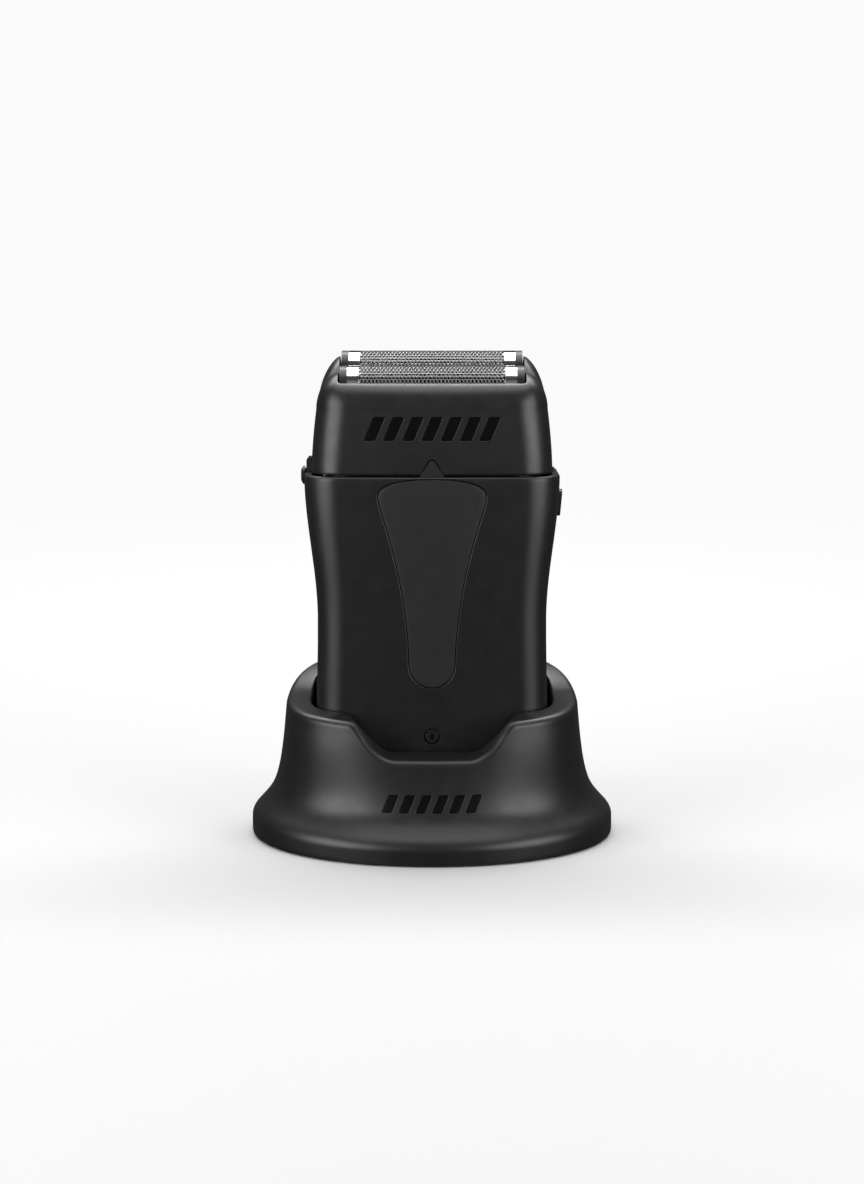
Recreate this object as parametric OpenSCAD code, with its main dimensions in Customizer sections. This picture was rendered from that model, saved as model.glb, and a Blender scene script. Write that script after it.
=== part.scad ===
// Twin-foil shaver standing in its charging stand.
// Millimetres. Z is up, -Y is the front, the origin is under the middle of the stand.

/* [Stand] */
// Width of the stand's foot
foot_w = 95.8; // [94.6:0.2:98]
// Depth of the stand's foot
foot_d = 79.6; // [78:0.2:81]
// Height of the collar at the sides
collar_z = 37; // [36:0.5:39]
// How far the collar climbs behind the handset
collar_rise = 6; // [3:0.5:8]
// Height of the floor of the scoop in the front of the collar
scoop_z = 25.4; // [24:0.2:28]

/* [Handset] */
// Width of the body at its rim
rim_w = 66.1; // [65.7:0.1:66.8]
// Width of the body at its waist
waist_w = 59.5; // [58.8:0.1:60.2]
// Depth of the body at its rim
rim_d = 35; // [34.8:0.1:36]
// Thickness of the housings
wall = 2; // [1.8:0.1:2.1]
// Bulge of the front and back faces
crown = 0.5; // [0.2:0.1:0.6]

/* [Foil head] */
// Height of the front foil's crest
front_crest = 124; // [123.5:0.1:124.4]
// Step up from the front foil's crest to the rear one
crest_step = 3.3; // [2.8:0.1:3.6]
// Outer radius of a foil
foil_r = 5.2; // [5:0.1:5.3]
// Blades in each cutter
blade_count = 31; // [15:2:37]

/* [Travel] */
// Swing of the drive bridge to each side
stroke = 1; // [0.5:0.1:1]
// Travel of the power slider
slider_travel = 2; // [1:0.1:2]
// Travel of the release button
button_travel = 1; // [0.5:0.1:1]

/* [Hidden] */

$fn = 48;

// Colours
c_shell = [0.13, 0.13, 0.13];
c_inlay = [0.16, 0.16, 0.16];
c_plastic = [0.08, 0.08, 0.08];
c_ivory = [0.85, 0.83, 0.76];
c_steel = [0.72, 0.73, 0.75];
c_brass = [0.80, 0.65, 0.30];
c_rubber = [0.05, 0.05, 0.05];
c_board = [0.05, 0.28, 0.15];
c_copper = [0.72, 0.40, 0.20];
c_lens = [0.10, 0.11, 0.12];
c_cell = [0.10, 0.35, 0.60];

// Heights
floor_z = 12;      // floor of the stand's well
gap = 0.05;        // air between the handset and that floor
base_z = floor_z + gap;
rim_z = 96.2;      // rim of the handset's body
waist_z = 59;
deck_z = 91;       // underside of the top deck
deck_t = 2.2;
deck_top = deck_z + deck_t;
head_z = rim_z + 0.45; // lower edge of the head cover

// Foil and cutter places
front_y = -6;
rear_y = 7.2;
rear_crest = front_crest + crest_step;
foil_t = 0.2;
foil_half = 21.8;
holder_half = 23.7;
blade_r = foil_r - foil_t - 0.05;

// ---------------------------------------------------------------- helpers

function clamp(t) = max(0, min(1, t));
function smooth(t) = let(c = clamp(t)) c * c * (3 - 2 * c);
function mix(a, b, t) = a + (b - a) * t;
// The smaller of two values, with the corner between them rounded over a width k
function soft_min(a, b, k) = let(h = max(k - abs(a - b), 0) / k) min(a, b) - h * h * k / 4;
// How far a rounded edge of radius r has drawn in at a distance d from its end
function edge_draw(r, d) = d >= r ? 0 : r - sqrt(r * r - (r - d) * (r - d));
function reversed(list) = [for (i = [len(list) - 1:-1:0]) list[i]];
// Distance from the centre of a superellipse to its edge, at an angle
function superellipse(a, b, n, angle) =
    pow(pow(abs(cos(angle)) / a, n) + pow(abs(sin(angle)) / b, n), -1 / n);
function around(radius, angle, z) = [radius * cos(angle), radius * sin(angle), z];

// Half of a rounded rectangle with a bulging face, from (hw, 0) over the -Y side to (-hw, 0)
function half_outline(hw, hd, r, bulge, arc_steps = 8, face_steps = 12) = let(
    cx = hw - r,
    cy = hd - r,
    side = [for (i = [0:1]) [hw, -cy * i / 2]],
    corner = [for (i = [0:arc_steps]) [cx + r * cos(90 * i / arc_steps), -cy - r * sin(90 * i / arc_steps)]],
    right = concat(side, corner),
    face = [for (i = [1:face_steps - 1]) let(x = mix(cx, -cx, i / face_steps))
        [x, -hd - bulge * (1 - pow(x / cx, 2))]],
    left = [for (p = reversed(right)) [-p[0], p[1]]]
) concat(right, face, left);

// A whole rounded rectangle
function rounded_rect(hw, hd, r, steps = 8) = [
    for (k = [0:3], i = [0:steps]) let(
        a = 90 * k + 90 * i / steps,
        sx = (k == 0 || k == 3) ? 1 : -1,
        sy = k < 2 ? 1 : -1
    ) [sx * (hw - r) + r * cos(a), sy * (hd - r) + r * sin(a)]
];

module slab(outline, z0, z1) {
    translate([0, 0, z0]) linear_extrude(z1 - z0) polygon(outline);
}

module box(low, high) {
    translate(low) cube(high - low);
}

module rod(r, low, high) {
    translate([0, 0, low]) cylinder(r = r, h = high - low);
}

// A cylinder along X
module x_rod(r, x0, x1) {
    translate([x0, 0, 0]) rotate([0, 90, 0]) cylinder(r = r, h = x1 - x0);
}

// A cylinder along Y
module y_rod(r, y0, y1) {
    translate([0, y0, 0]) rotate([-90, 0, 0]) cylinder(r = r, h = y1 - y0);
}

// Both copies of something that stands on each side of X = 0
module both_sides() {
    children();
    mirror([1, 0, 0]) children();
}

// The solid between two grids of the same size: the rows run up, and the columns don't close
module sheet_solid(outer, inner) {
    rows = len(outer);
    cols = len(outer[0]);
    loop = 2 * cols;
    points = [for (i = [0:rows - 1]) each concat(outer[i], reversed(inner[i]))];
    sides = [for (i = [0:rows - 2], j = [0:loop - 1]) let(
        a = i * loop + j,
        b = i * loop + (j + 1) % loop,
        c = b + loop,
        d = a + loop
    ) each [[a, b, c], [a, c, d]]];
    last = (rows - 1) * loop;
    ends = [for (j = [0:cols - 2]) let(a = j, b = j + 1, c = loop - 2 - j, d = loop - 1 - j)
        each [[a, d, c], [a, c, b], [last + a, last + b, last + c], [last + a, last + c, last + d]]];
    polyhedron(points, concat(sides, ends), convexity = 8);
}

// A closed skin of rings, each a closed loop of the same number of points.
// With wrap, the last ring joins the first; otherwise a point caps each end.
module ring_solid(rings, wrap = false, start = undef, finish = undef) {
    rows = len(rings);
    cols = len(rings[0]);
    body = [for (r = rings) each r];
    points = wrap ? body : concat(body, [start, finish]);
    steps = wrap ? rows : rows - 1;
    sides = [for (i = [0:steps - 1], j = [0:cols - 1]) let(
        a = i * cols + j,
        b = i * cols + (j + 1) % cols,
        c = ((i + 1) % rows) * cols + (j + 1) % cols,
        d = ((i + 1) % rows) * cols + j
    ) each [[a, c, b], [a, d, c]]];
    last = (rows - 1) * cols;
    caps = wrap ? [] : [for (j = [0:cols - 1]) let(k = (j + 1) % cols)
        each [[rows * cols, j, k], [rows * cols + 1, last + k, last + j]]];
    polyhedron(points, concat(sides, caps), convexity = 10);
}

// A coil spring about Z as one solid: a thin tube along a helix
coil_steps = 8;
coil_sides = 5;
module coil(r, wire, z0, z1, turns) {
    last = coil_steps * turns;
    function along(i) = let(a = 360 * i / coil_steps)
        [r * cos(a), r * sin(a), mix(z0 + wire, z1 - wire, i / last)];
    rings = [for (i = [0:last]) let(a = 360 * i / coil_steps)
        [for (k = [0:coil_sides - 1]) let(b = 360 * k / coil_sides)
            along(i) + wire * [cos(b) * cos(a), cos(b) * sin(a), sin(b)]]];
    ring_solid(reversed(rings), false, along(last), along(0));
}

// ---------------------------------------------------------------- stand

foot_a = foot_w / 2;
foot_b = foot_d / 2;
collar_a = 38.05;      // half width of the collar
foot_square = 2.06;    // squareness of the foot's outline
collar_square = 2.62;  // and of the collar's
foot_edge = 0.4;       // height of the shell's lower edge
skin = 2.2;
collar_round = 1.9;
ring_count = 72;
well_top = [31.65, 20.3, 3.8]; // half width, half depth and squareness at the collar
well_foot = [31, 18.4, 5.5];   // and at the floor
well_wall = 1.8;

// Half width of the stand's outer skin at a height: an upright collar that curves out below sweep_z,
// and more steeply below ramp_z, until it meets the foot's upright edge
sweep_z = 14;
ramp_z = 10.2;
lip_round = 1.6;
function flare(z) = let(
    high = max(z, sweep_z),
    sweep = max(sweep_z - z, 0),
    bend = min(sweep, sweep_z - ramp_z),
    ramp = max(ramp_z - z, 0)
) collar_a + 0.048 * (29 - high) + 4.1 * pow(11.7 / high, 1.55)
    + 0.392 * sweep + 0.06 * bend * bend + 0.456 * ramp + 0.0275 * ramp * ramp;
function foot_half_width(z) = let(edge = 0.3 * edge_draw(1, z - foot_edge))
    soft_min(flare(z), foot_a, lip_round) - edge;
lip_drop = 1.0; // the foot's upright edge is lower in front and behind than at the sides
function foot_half_depth(z) = foot_b - (foot_a - foot_half_width(z + lip_drop)) * 1.03;
function foot_squareness(z) = mix(foot_square, collar_square, smooth((z - 6) / 24));
function skin_radius(z, angle) =
    superellipse(foot_half_width(z), foot_half_depth(z), foot_squareness(z), angle);

function well_radius(z, angle) = let(
    t = clamp((z - floor_z) / 23),
    s = [for (i = [0:2]) mix(well_foot[i], well_top[i], t)]
) superellipse(s[0], s[1], s[2], angle);

// Height of the collar's top. Behind, it climbs. In front, a straight cut along Y scoops it out.
scoop_flat = 9.5;
scoop_reach = 11;
scoop_rise = 9.9;
function scoop(x) = scoop_z + scoop_rise * pow(max(abs(x) - scoop_flat, 0) / scoop_reach, 2);
function collar_top(x, y) = y > 0
    ? collar_z + collar_rise * smooth(y / 27)
    : soft_min(collar_z + 0.08 * y, scoop(x), 3);
collar_mid = 30; // height at which the collar's plan is taken
function outer_top(angle) = let(r = skin_radius(collar_mid, angle))
    collar_top(r * cos(angle), r * sin(angle));
function inner_top(angle) = let(r = well_radius(collar_mid, angle))
    sin(angle) > 0 ? outer_top(angle) : collar_top(r * cos(angle), r * sin(angle));

function stand_ring(radius_at, z_at) = [for (i = [0:ring_count - 1])
    let(a = 360 * i / ring_count) around(radius_at(a), a, z_at(a))];

module stand_skin() {
    ledge = floor_z - well_wall;
    under = 3.2; // collar thickness, measured down from its top
    lip_r = 0.8; // roll of the collar's inner edge
    steps = [0, 0.03, 0.14, 0.17, 0.2, 0.26, 0.34, 0.44, 0.56, 0.7, 0.85, 1];
    well = [for (t = [0, 0.25, 0.5, 0.75, 1])
        stand_ring(function(a) well_radius(mix(floor_z, inner_top(a) - lip_r, t), a),
            function(a) mix(floor_z, inner_top(a) - lip_r, t))];
    lip = [for (t = [0.3, 1]) stand_ring(
        function(a) well_radius(inner_top(a), a) + lip_r * t, function(a) inner_top(a) - lip_r * (1 - t))];
    shoulder = [for (s = [90, 60, 30]) stand_ring(
        function(a) skin_radius(outer_top(a) - collar_round, a) - collar_round * (1 - cos(s)),
        function(a) outer_top(a) - collar_round * (1 - sin(s)))];
    outside = [for (t = reversed(steps)) stand_ring(
        function(a) skin_radius(mix(foot_edge, outer_top(a) - collar_round, t), a),
        function(a) mix(foot_edge, outer_top(a) - collar_round, t))];
    inside = [for (t = steps) if (t != 0.03) stand_ring(
        function(a) skin_radius(mix(foot_edge, outer_top(a) - under, t), a) - skin,
        function(a) mix(foot_edge, outer_top(a) - under, t))];
    behind = [for (t = [1, 0.5, 0]) stand_ring(
        function(a) well_radius(mix(ledge, inner_top(a) - under, t), a) + well_wall,
        function(a) mix(ledge, inner_top(a) - under, t))];
    ring_solid(reversed(concat(well, lip, shoulder, outside, inside, behind)), false,
        [0, 0, ledge], [0, 0, floor_z]);
}

screw_hole_r = 1.2;
boss_at = [for (sx = [-1, 1], sy = [-1, 1]) [28.6 * sx, 18.6 * sy]];
plate_z = [0.7, 2.5];
pin_x = 5;
port_z = 5.2;
port_back = 38;                  // mouth of the charging inlet
port_front = port_back - 7.2;    // and its closed end
port_half = 4.4;
port_r = 1.55;

// A slot with round ends, lying along X, from y0 to y1
module port_slot(half, r, y0, y1) {
    translate([0, y0, port_z]) rotate([-90, 0, 0]) linear_extrude(y1 - y0)
        polygon(rounded_rect(half, r, r - 0.01));
}

module stand_shell() {
    color(c_shell) difference() {
        union() {
            stand_skin();
            for (p = boss_at) translate(p) rod(3, plate_z[1] + 0.05, floor_z - 0.5);
        }
        for (p = boss_at) translate(p) rod(screw_hole_r, 0, 9.5);
        for (s = [-1, 1]) translate([s * pin_x, 0, 0]) rod(1.1, 9, 13);
        port_slot(port_half + 0.45, port_r + 0.45, port_back - 4, port_back + 4);
    }
}

module stand_base_plate() {
    inset = skin + 0.15;
    outline = [for (i = [0:ring_count - 1]) let(
        a = 360 * i / ring_count,
        r = superellipse(foot_a, foot_b, foot_square, a) - inset - 0.3
    ) [r * cos(a), r * sin(a)]];
    color(c_plastic) difference() {
        slab(outline, plate_z[0], plate_z[1]);
        for (p = boss_at) translate(p) {
            rod(1.7, 0, 3);
            rod(3, 0, 1.3);
        }
        for (p = foot_at) translate(p) rod(4.1, 0, 1.4);
    }
}

foot_at = [for (sx = [-1, 1], sy = [-1, 1]) [33 * sx, 11 * sy]];
module stand_feet() {
    color(c_rubber) for (p = foot_at) translate(p) rod(4, 0, 1.4);
}

// A countersunk screw pointing up: its head is at the bottom
module screw_up(head_r, head_h, shank_r, length) {
    difference() {
        union() {
            rod(head_r, 0, head_h);
            rod(shank_r, 0, length);
        }
        for (a = [0, 90]) rotate(a) box([-head_r * 0.6, -0.25, -1], [head_r * 0.6, 0.25, head_h * 0.5]);
    }
}

module stand_screws() {
    color(c_steel) for (p = boss_at) translate([p[0], p[1], 0.4]) screw_up(2.8, 0.9, 1.15, 8.4);
}

module stand_ballast() {
    color(c_steel) both_sides() difference() {
        box([12, -15, plate_z[1] + 0.1], [26.5, 15, plate_z[1] + 5.6]);
        for (y = [-9, 9]) translate([19, y, 0]) rod(1.5, 0, 20);
    }
}

board_z = [plate_z[1] + 0.02, 3.6];
module stand_board() {
    color(c_board) box([-9, -6, board_z[0]], [9, port_back - 3, board_z[1]]);
}

module charge_port() {
    color(c_steel) difference() {
        port_slot(port_half, port_r, port_front, port_back);
        port_slot(port_half - 0.25, port_r - 0.25, port_front + 1, port_back + 1);
    }
}

module charge_port_tongue() {
    color(c_plastic) union() {
        port_slot(port_half - 0.35, port_r - 0.35, port_front + 1.05, port_front + 2.2);
        box([-3.3, port_front + 2, port_z - 0.3], [3.3, port_back - 0.6, port_z + 0.3]);
    }
}

pin_free = 1.3; // how far a pin stands above the floor of the well
pin_top = floor_z + pin_free;
module pin_block() {
    color(c_plastic) difference() {
        box([-8, -2.6, board_z[1] + 0.02], [8, 2.6, floor_z - well_wall - 0.05]);
        for (s = [-1, 1]) translate([s * pin_x, 0, 0]) {
            rod(1.6, 5, 9);
            rod(1.05, 0, 12);
        }
    }
}

module charge_pins() {
    color(c_brass) for (s = [-1, 1]) translate([s * pin_x, 0, 0]) {
        rod(1, 8.2, pin_top - 0.4);
        rod(1.5, 8, 8.9);
        translate([0, 0, pin_top - 0.4]) cylinder(r1 = 1, r2 = 0.6, h = 0.4);
    }
}

module pin_springs() {
    color(c_steel) for (s = [-1, 1]) translate([s * pin_x, 0, 0]) coil(1.15, 0.15, 5.05, 7.95, 3);
}

// ---------------------------------------------------------------- handset body

rim_half = rim_w / 2;
function body_half_width(z) = waist_w / 2
    + (rim_w - waist_w) / 2 * smooth((z - waist_z) / (rim_z - waist_z))
    + 0.45 * smooth((waist_z - z) / 30);
function body_half_depth(z) = rim_d / 2 - 0.8 + 0.8 * smooth((z - 40) / 56);
function body_corner(z) = 7.6 + 1.9 * smooth((z - waist_z) / 40);
base_round = 4;
function body_outline(z, inset) = let(i = inset + edge_draw(base_round, z - base_z))
    half_outline(body_half_width(z) - i, body_half_depth(z) - i, max(body_corner(z) - i, 1.2), crown);
function at_height(outline, z) = [for (p = outline) [p[0], p[1], z]];

body_rows = [0, 0.5, 1.2, 2.4, 4, 10, 22, 34, 44, 50, 56, 62, 68, 74, 78, 81, rim_z - base_z - 0.5];
// One half of the body, the one on the -Y side
module half_body() {
    heights = [for (h = body_rows) base_z + h];
    outer = concat([for (z = heights) at_height(body_outline(z, 0), z)],
        [at_height(body_outline(rim_z, 0.35), rim_z)]);
    inner = concat([for (z = heights) at_height(body_outline(z, wall), z)],
        [at_height(body_outline(rim_z, wall), rim_z)]);
    sheet_solid(outer, inner);
}

// Front edge of the body at its face, for pieces that lie in it
function face_y(x, z) = -body_half_depth(z)
    - crown * (1 - pow(x / (body_half_width(z) - body_corner(z)), 2));

// Screw posts that join the two housings
post_at = [[-24, 24], [24, 24], [-25.5, 76], [25.5, 76]];
post_r = 2.6;

// The openings that the switch and the release button leave in the side walls
stem_z = [86, 88.8];
notch_z = 93.6;
module side_openings() {
    box([25, -1.25, stem_z[0] - 0.2], [40, 1.25, stem_z[1] + slider_travel + 0.1]);
    box([-40, -1.75, notch_z], [-25, 1.75, rim_z + 1]);
    // round recess that the button's pad sinks into
    translate([0, 0, button_z]) x_rod(button_r + 0.3, -40, -rim_half + button_travel - 0.1);
}

// Outline of the inlay, half width at each height. Arcs round off its top corners and its foot.
inlay_top = 95.6;
inlay_foot = 41.7;
inlay_head_half = 13.5;
inlay_foot_half = 5.8;
function inlay_half_width(z) = let(
    waist = mix(inlay_foot_half, inlay_head_half, pow(max(0, (z - 46) / 43), 1.9)),
    d = inlay_top - z,
    top = 13.9 * pow(1 - pow(1 - clamp(d / 5.5), 3), 0.45),
    f = clamp((z - inlay_foot) / 5.8),
    foot = inlay_foot_half * sqrt(1 - pow(1 - f, 2))
) f < 1 ? foot : soft_min(waist, top, 1.2);
inlay_rows = 30;
function inlay_height(t) = mix(inlay_foot + 0.02, inlay_top - 0.02, (1 - cos(180 * t)) / 2);

// The inlay's surface, moved in from the face and grown sideways
inlay_columns = 8;
function inlay_grid(depth, grow) = [for (i = [0:inlay_rows]) let(
    z = inlay_height(i / inlay_rows),
    w = inlay_half_width(z) + grow,
    end = i == 0 ? -grow : i == inlay_rows ? grow : 0
) [for (c = [0:inlay_columns]) let(x = mix(w, -w, c / inlay_columns)) [x, face_y(x, z) + depth, z + end]]];

inlay_depth = 0.9;
lens_z = 28.9;
lens_r = 2;

// Each half carries its part of a small lug on the rim, opposite the release button
lug_h = 1.1;
module catch_lug(rear) {
    y = rear ? [0.01, 1.2] : [-1.2, -0.01];
    box([rim_half - 1.7, y[0], rim_z - 0.6], [rim_half - 1.1, y[1], rim_z + lug_h]);
}

// Either half of the housing
module housing_half(rear) {
    difference() {
        union() {
            if (rear) mirror([0, 1, 0]) half_body();
            else half_body();
            for (p = post_at) translate([p[0], 0, p[1]])
                if (rear) y_rod(post_r, 5, 15);
                else y_rod(post_r, -15, 4.95);
            catch_lug(rear);
        }
        side_openings();
        for (p = post_at) translate([p[0], 0, p[1]])
            if (rear) {
                y_rod(1.3, 4, 30);
                y_rod(2.4, 13.5, 30);
            } else y_rod(1, -12, 6);
    }
}

module front_housing() {
    color(c_shell) difference() {
        union() {
            housing_half(false);
            for (p = deck_screw_at) if (p[1] < 0) {
                translate([p[0], p[1], 0]) rod(2.2, 84, deck_z - 0.05);
                box([p[0] - 1, -16.4, 84], [p[0] + 1, p[1], deck_z - 0.05]);
            }
        }
        for (p = deck_screw_at) translate([p[0], p[1], 0]) rod(1.1, 86, 92);
        sheet_solid(inlay_grid(-3, 0.12), inlay_grid(inlay_depth + 0.1, 0.12));
        translate([0, 0, lens_z]) y_rod(lens_r + 0.08, -30, -10);
    }
}

module rear_housing() {
    color(c_shell) housing_half(true);
}

module front_inlay() {
    color(c_inlay) sheet_solid(inlay_grid(-0.1, 0), inlay_grid(inlay_depth, 0));
}

module base_cap() {
    hw = body_half_width(base_z) - base_round;
    hd = body_half_depth(base_z) - base_round;
    color(c_shell) difference() {
        slab(rounded_rect(hw - wall - 0.15, hd - wall - 0.15, 2.2), base_z, base_z + 2);
        for (s = [-1, 1]) translate([s * pin_x, 0, 0]) {
            rod(1.7, 11, 20);
            rod(2.6, base_z + 1.35, 20);
        }
    }
}

module charge_contacts() {
    color(c_brass) for (s = [-1, 1]) translate([s * pin_x, 0, 0]) {
        rod(2.5, base_z + 1.4, base_z + 1.9);
        rod(0.6, base_z + 1.8, base_z + 4.5);
    }
}

module indicator_lens() {
    color(c_lens) translate([0, 0, lens_z]) {
        y_rod(lens_r, face_y(0, lens_z) - 0.02, -14.6);
        y_rod(2.8, -15.1, -14.5);
    }
}

module indicator_led() {
    color(c_ivory) box([-1.5, -13.8, lens_z - 0.8], [1.5, -12.62, lens_z + 0.8]);
}

board_y = [-12.6, -11.4];
module main_board() {
    color(c_board) difference() {
        box([-17, board_y[0], 20], [17, board_y[1], 84]);
        for (x = [-14, 14], z = [23, 81]) translate([x, 0, z]) y_rod(1.2, -20, 0);
    }
}

module board_parts() {
    color(c_plastic) {
        box([-4, board_y[0] - 1.2, 60], [4, board_y[0], 68]);
        box([7, board_y[0] - 1.5, 46], [12, board_y[0], 51]);
        for (i = [0:5]) box([-14 + 3 * i, board_y[0] - 0.8, 38], [-12.6 + 3 * i, board_y[0], 40]);
        box([-14, board_y[1], 66], [-11.5, board_y[1] + 3.4, 74]);
        box([11.5, board_y[1], 66], [14, board_y[1] + 3.4, 74]);
    }
}

cell_r = 9;
cell_y = 1.6;
cell_z = [20.5, 55];
module battery_cell() {
    color(c_cell) translate([0, cell_y, 0]) {
        rod(cell_r, cell_z[0], cell_z[1] - 1);
        rod(cell_r - 1.5, cell_z[1] - 1.05, cell_z[1] - 0.5);
        rod(3, cell_z[1] - 0.6, cell_z[1]);
    }
}

module battery_tabs() {
    color(c_steel) translate([0, cell_y, 0]) {
        box([-2.5, -10.5, cell_z[1] + 0.02], [2.5, 3, cell_z[1] + 0.25]);
        box([-2.5, -10.5, cell_z[0] - 0.25], [2.5, 3, cell_z[0] - 0.02]);
    }
}

// A wire as straight runs with a ball at each bend
module wire(r, path) {
    for (i = [0:len(path) - 2]) {
        d = path[i + 1] - path[i];
        translate(path[i]) rotate([0, acos(d[2] / norm(d)), atan2(d[1], d[0])]) cylinder(r = r, h = norm(d));
        if (i > 0) translate(path[i]) sphere(r = r);
    }
}

lead_r = 0.5;
module battery_leads() {
    color("red") wire(lead_r, [[2, -7.6, 55.9], [9.5, -7.4, 57], [12.1, -9.2, 61], [12.1, -9.2, 65.9]]);
    color("black") wire(lead_r, [[-2, -8.6, 19.6], [-12.1, -9.2, 24], [-12.1, -9.2, 65.9]]);
}

module chassis() {
    color(c_plastic) difference() {
        union() {
            box([-21, 12.4, 17], [21, 14, deck_z - 0.1]);
            for (p = deck_screw_at) if (p[1] > 0) {
                translate([p[0], p[1], 0]) rod(2.2, 84, deck_z - 0.1);
                box([p[0] - 1, p[1], 84], [p[0] + 1, 12.45, deck_z - 0.1]);
            }
            box([-14, 8.2, 57.1], [14, 12.45, 58.3]);
            box([-10, -2, 16.9], [10, 12.45, 18.4]);
        }
        for (z = [30, 45, 70]) translate([0, 0, z]) y_rod(4, 12, 20);
        for (p = deck_screw_at) translate([p[0], p[1], 0]) rod(1.1, 80, 92);
    }
}

// ---------------------------------------------------------------- motor

motor_z = [59, deck_z - 0.05];
can_r = 10;
can_flat = 7.6;
can_t = 0.8;
motor_screw_x = 6.5;
terminal_x = 6; // terminals in the end cap
shaft_r = 1;
throw_r = stroke; // how far the eccentric pin stands from the axis

module can_section(inset) {
    intersection() {
        circle(r = can_r - inset);
        square([40, 2 * (can_flat - inset)], center = true);
    }
}

module motor_can() {
    color(c_steel) difference() {
        union() {
            translate([0, 0, motor_z[0]]) linear_extrude(motor_z[1] - motor_z[0]) can_section(0);
            rod(3, motor_z[1] - 0.1, motor_z[1] + 1.5);
        }
        translate([0, 0, motor_z[0] - 1]) linear_extrude(motor_z[1] - can_t - motor_z[0] + 1)
            can_section(can_t);
        rod(2.05, 80, 100);
        for (x = [-motor_screw_x, motor_screw_x]) translate([x, 0, 0]) rod(0.8, 85, 100);
    }
}

module motor_end_cap() {
    color(c_ivory) difference() {
        union() {
            translate([0, 0, motor_z[0] + 0.02]) linear_extrude(2) can_section(can_t + 0.05);
            rod(3, motor_z[0] - 1.6, motor_z[0] + 0.1);
        }
        rod(2.05, 50, 70);
        for (s = [-1, 1]) box([s * terminal_x - 1, -0.35, 50], [s * terminal_x + 1, 0.35, 70]);
    }
}

module motor_magnets() {
    color(c_plastic) both_sides() intersection() {
        difference() {
            rod(can_r - can_t - 0.1, 66, 86);
            rod(7.1, 60, 90);
        }
        box([4.6, -5.6, 60], [12, 5.6, 90]);
    }
}

module motor_bushes() {
    color(c_brass) for (z = [[motor_z[0] - 1.5, motor_z[0] + 1.9], [motor_z[1] - 1.8, motor_z[1] + 1.4]])
        difference() {
            rod(2, z[0], z[1]);
            rod(shaft_r + 0.04, 0, 120);
        }
}

module motor_leads() {
    for (s = [-1, 1]) color(s > 0 ? "red" : "black") {
        box([s * terminal_x - 0.9, -0.25, motor_z[0] - 2.2], [s * terminal_x + 0.9, 0.25, motor_z[0] + 2.6]);
        wire(lead_r, [[s * terminal_x, -0.8, 57.6], [s * 11.2, -4.5, 57.8],
            [s * 13.45, -9.2, 60], [s * 13.45, -9.2, 65.9]]);
    }
}

module motor_shaft() {
    color(c_steel) rod(shaft_r, motor_z[0] - 2.4, 95);
}

module armature_core() {
    color(c_steel) difference() {
        rod(6.4, 68, 84);
        rod(shaft_r + 0.01, 0, 120);
        for (a = [30, 150, 270]) rotate(a) {
            box([3, -0.5, 60], [8, 0.5, 90]);
            translate([4, 0, 0]) rod(1.7, 60, 90);
        }
    }
}

module armature_windings() {
    color(c_copper) difference() {
        union() {
            rod(5, 65.5, 67.95);
            rod(5, 84.05, 86.5);
        }
        rod(1.6, 60, 90);
    }
}

module commutator() {
    color(c_copper) difference() {
        rod(2.4, 61.3, 65);
        rod(shaft_r + 0.01, 60, 70);
        for (a = [0, 120, 240]) rotate(a) box([1.6, -0.15, 60], [4, 0.15, 66]);
    }
}

hub_z = [93.5, 95.2];
module eccentric() {
    color(c_ivory) difference() {
        union() {
            rod(2.7, hub_z[0], hub_z[1]);
            translate([0, throw_r, 0]) rod(1, hub_z[1] - 0.05, 98.6);
        }
        rod(shaft_r, 90, 95);
    }
}

// ---------------------------------------------------------------- deck

flexure_x = 11.5;
deck_screw_at = [for (sx = [-1, 1], sy = [-1, 1]) [20 * sx, 9.5 * sy]];
module tab_outline() {
    polygon([[-3.2, 0], [3.2, 0], each [for (i = [0:8]) let(a = 35 + 110 * i / 8)
        [0.9 * cos(a), 3.3 + 0.9 * sin(a)]]]);
}

module top_deck() {
    hw = body_half_width(deck_z) - wall - 0.15;
    hd = body_half_depth(deck_z) - wall - 0.15;
    color(c_plastic) difference() {
        union() {
            slab(rounded_rect(hw, hd, 7.2), deck_z, deck_top);
            // tab that guides the head cover down onto the body
            translate([0, -15.1, rim_z + 0.06]) rotate([90, 0, 0]) linear_extrude(2.45) tab_outline();
            box([-2.2, -15.15, deck_top - 0.1], [2.2, -13.9, rim_z + 1.5]);
            // seat of the release button's spring
            box([-27, -2, deck_top - 0.1], [-25.6, 2, 96.4]);
            translate([0, 0, 95]) x_rod(0.75, -28.4, -26.9);
        }
        rod(3.08, 90, 95);
        for (x = [-motor_screw_x, motor_screw_x]) translate([x, 0, 0]) {
            rod(0.95, 90, 95);
            rod(1.7, deck_top - 0.8, 95);
        }
        for (p = deck_screw_at) translate(p) {
            rod(1.1, 90, 95);
            rod(2, deck_top - 1, 95);
        }
    }
}

// A pan-head screw pointing down, its head's top at z = 0
module screw_down(head_r, head_h, shank_r, length) {
    rotate([180, 0, 0]) screw_up(head_r, head_h, shank_r, length);
}

module deck_screws() {
    color(c_steel) for (p = deck_screw_at) translate([p[0], p[1], deck_top - 0.1])
        screw_down(1.9, 0.85, 1.05, 5);
}

module motor_screws() {
    color(c_steel) for (x = [-motor_screw_x, motor_screw_x]) translate([x, 0, deck_top - 0.05]) screw_down(1.6, 0.7, 0.75, 3.2);
}

module deck_seal() {
    color(c_rubber) difference() {
        slab(rounded_rect(28.6, 14.4, 6), deck_top + 0.02, deck_top + 0.9);
        slab(rounded_rect(25.4, 12.4, 5), deck_z, 99);
        box([-40, -2.2, 92], [-20, 2.2, 99]);
        box([-2.6, -20, 92], [2.6, -10, 99]);
    }
}

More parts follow.
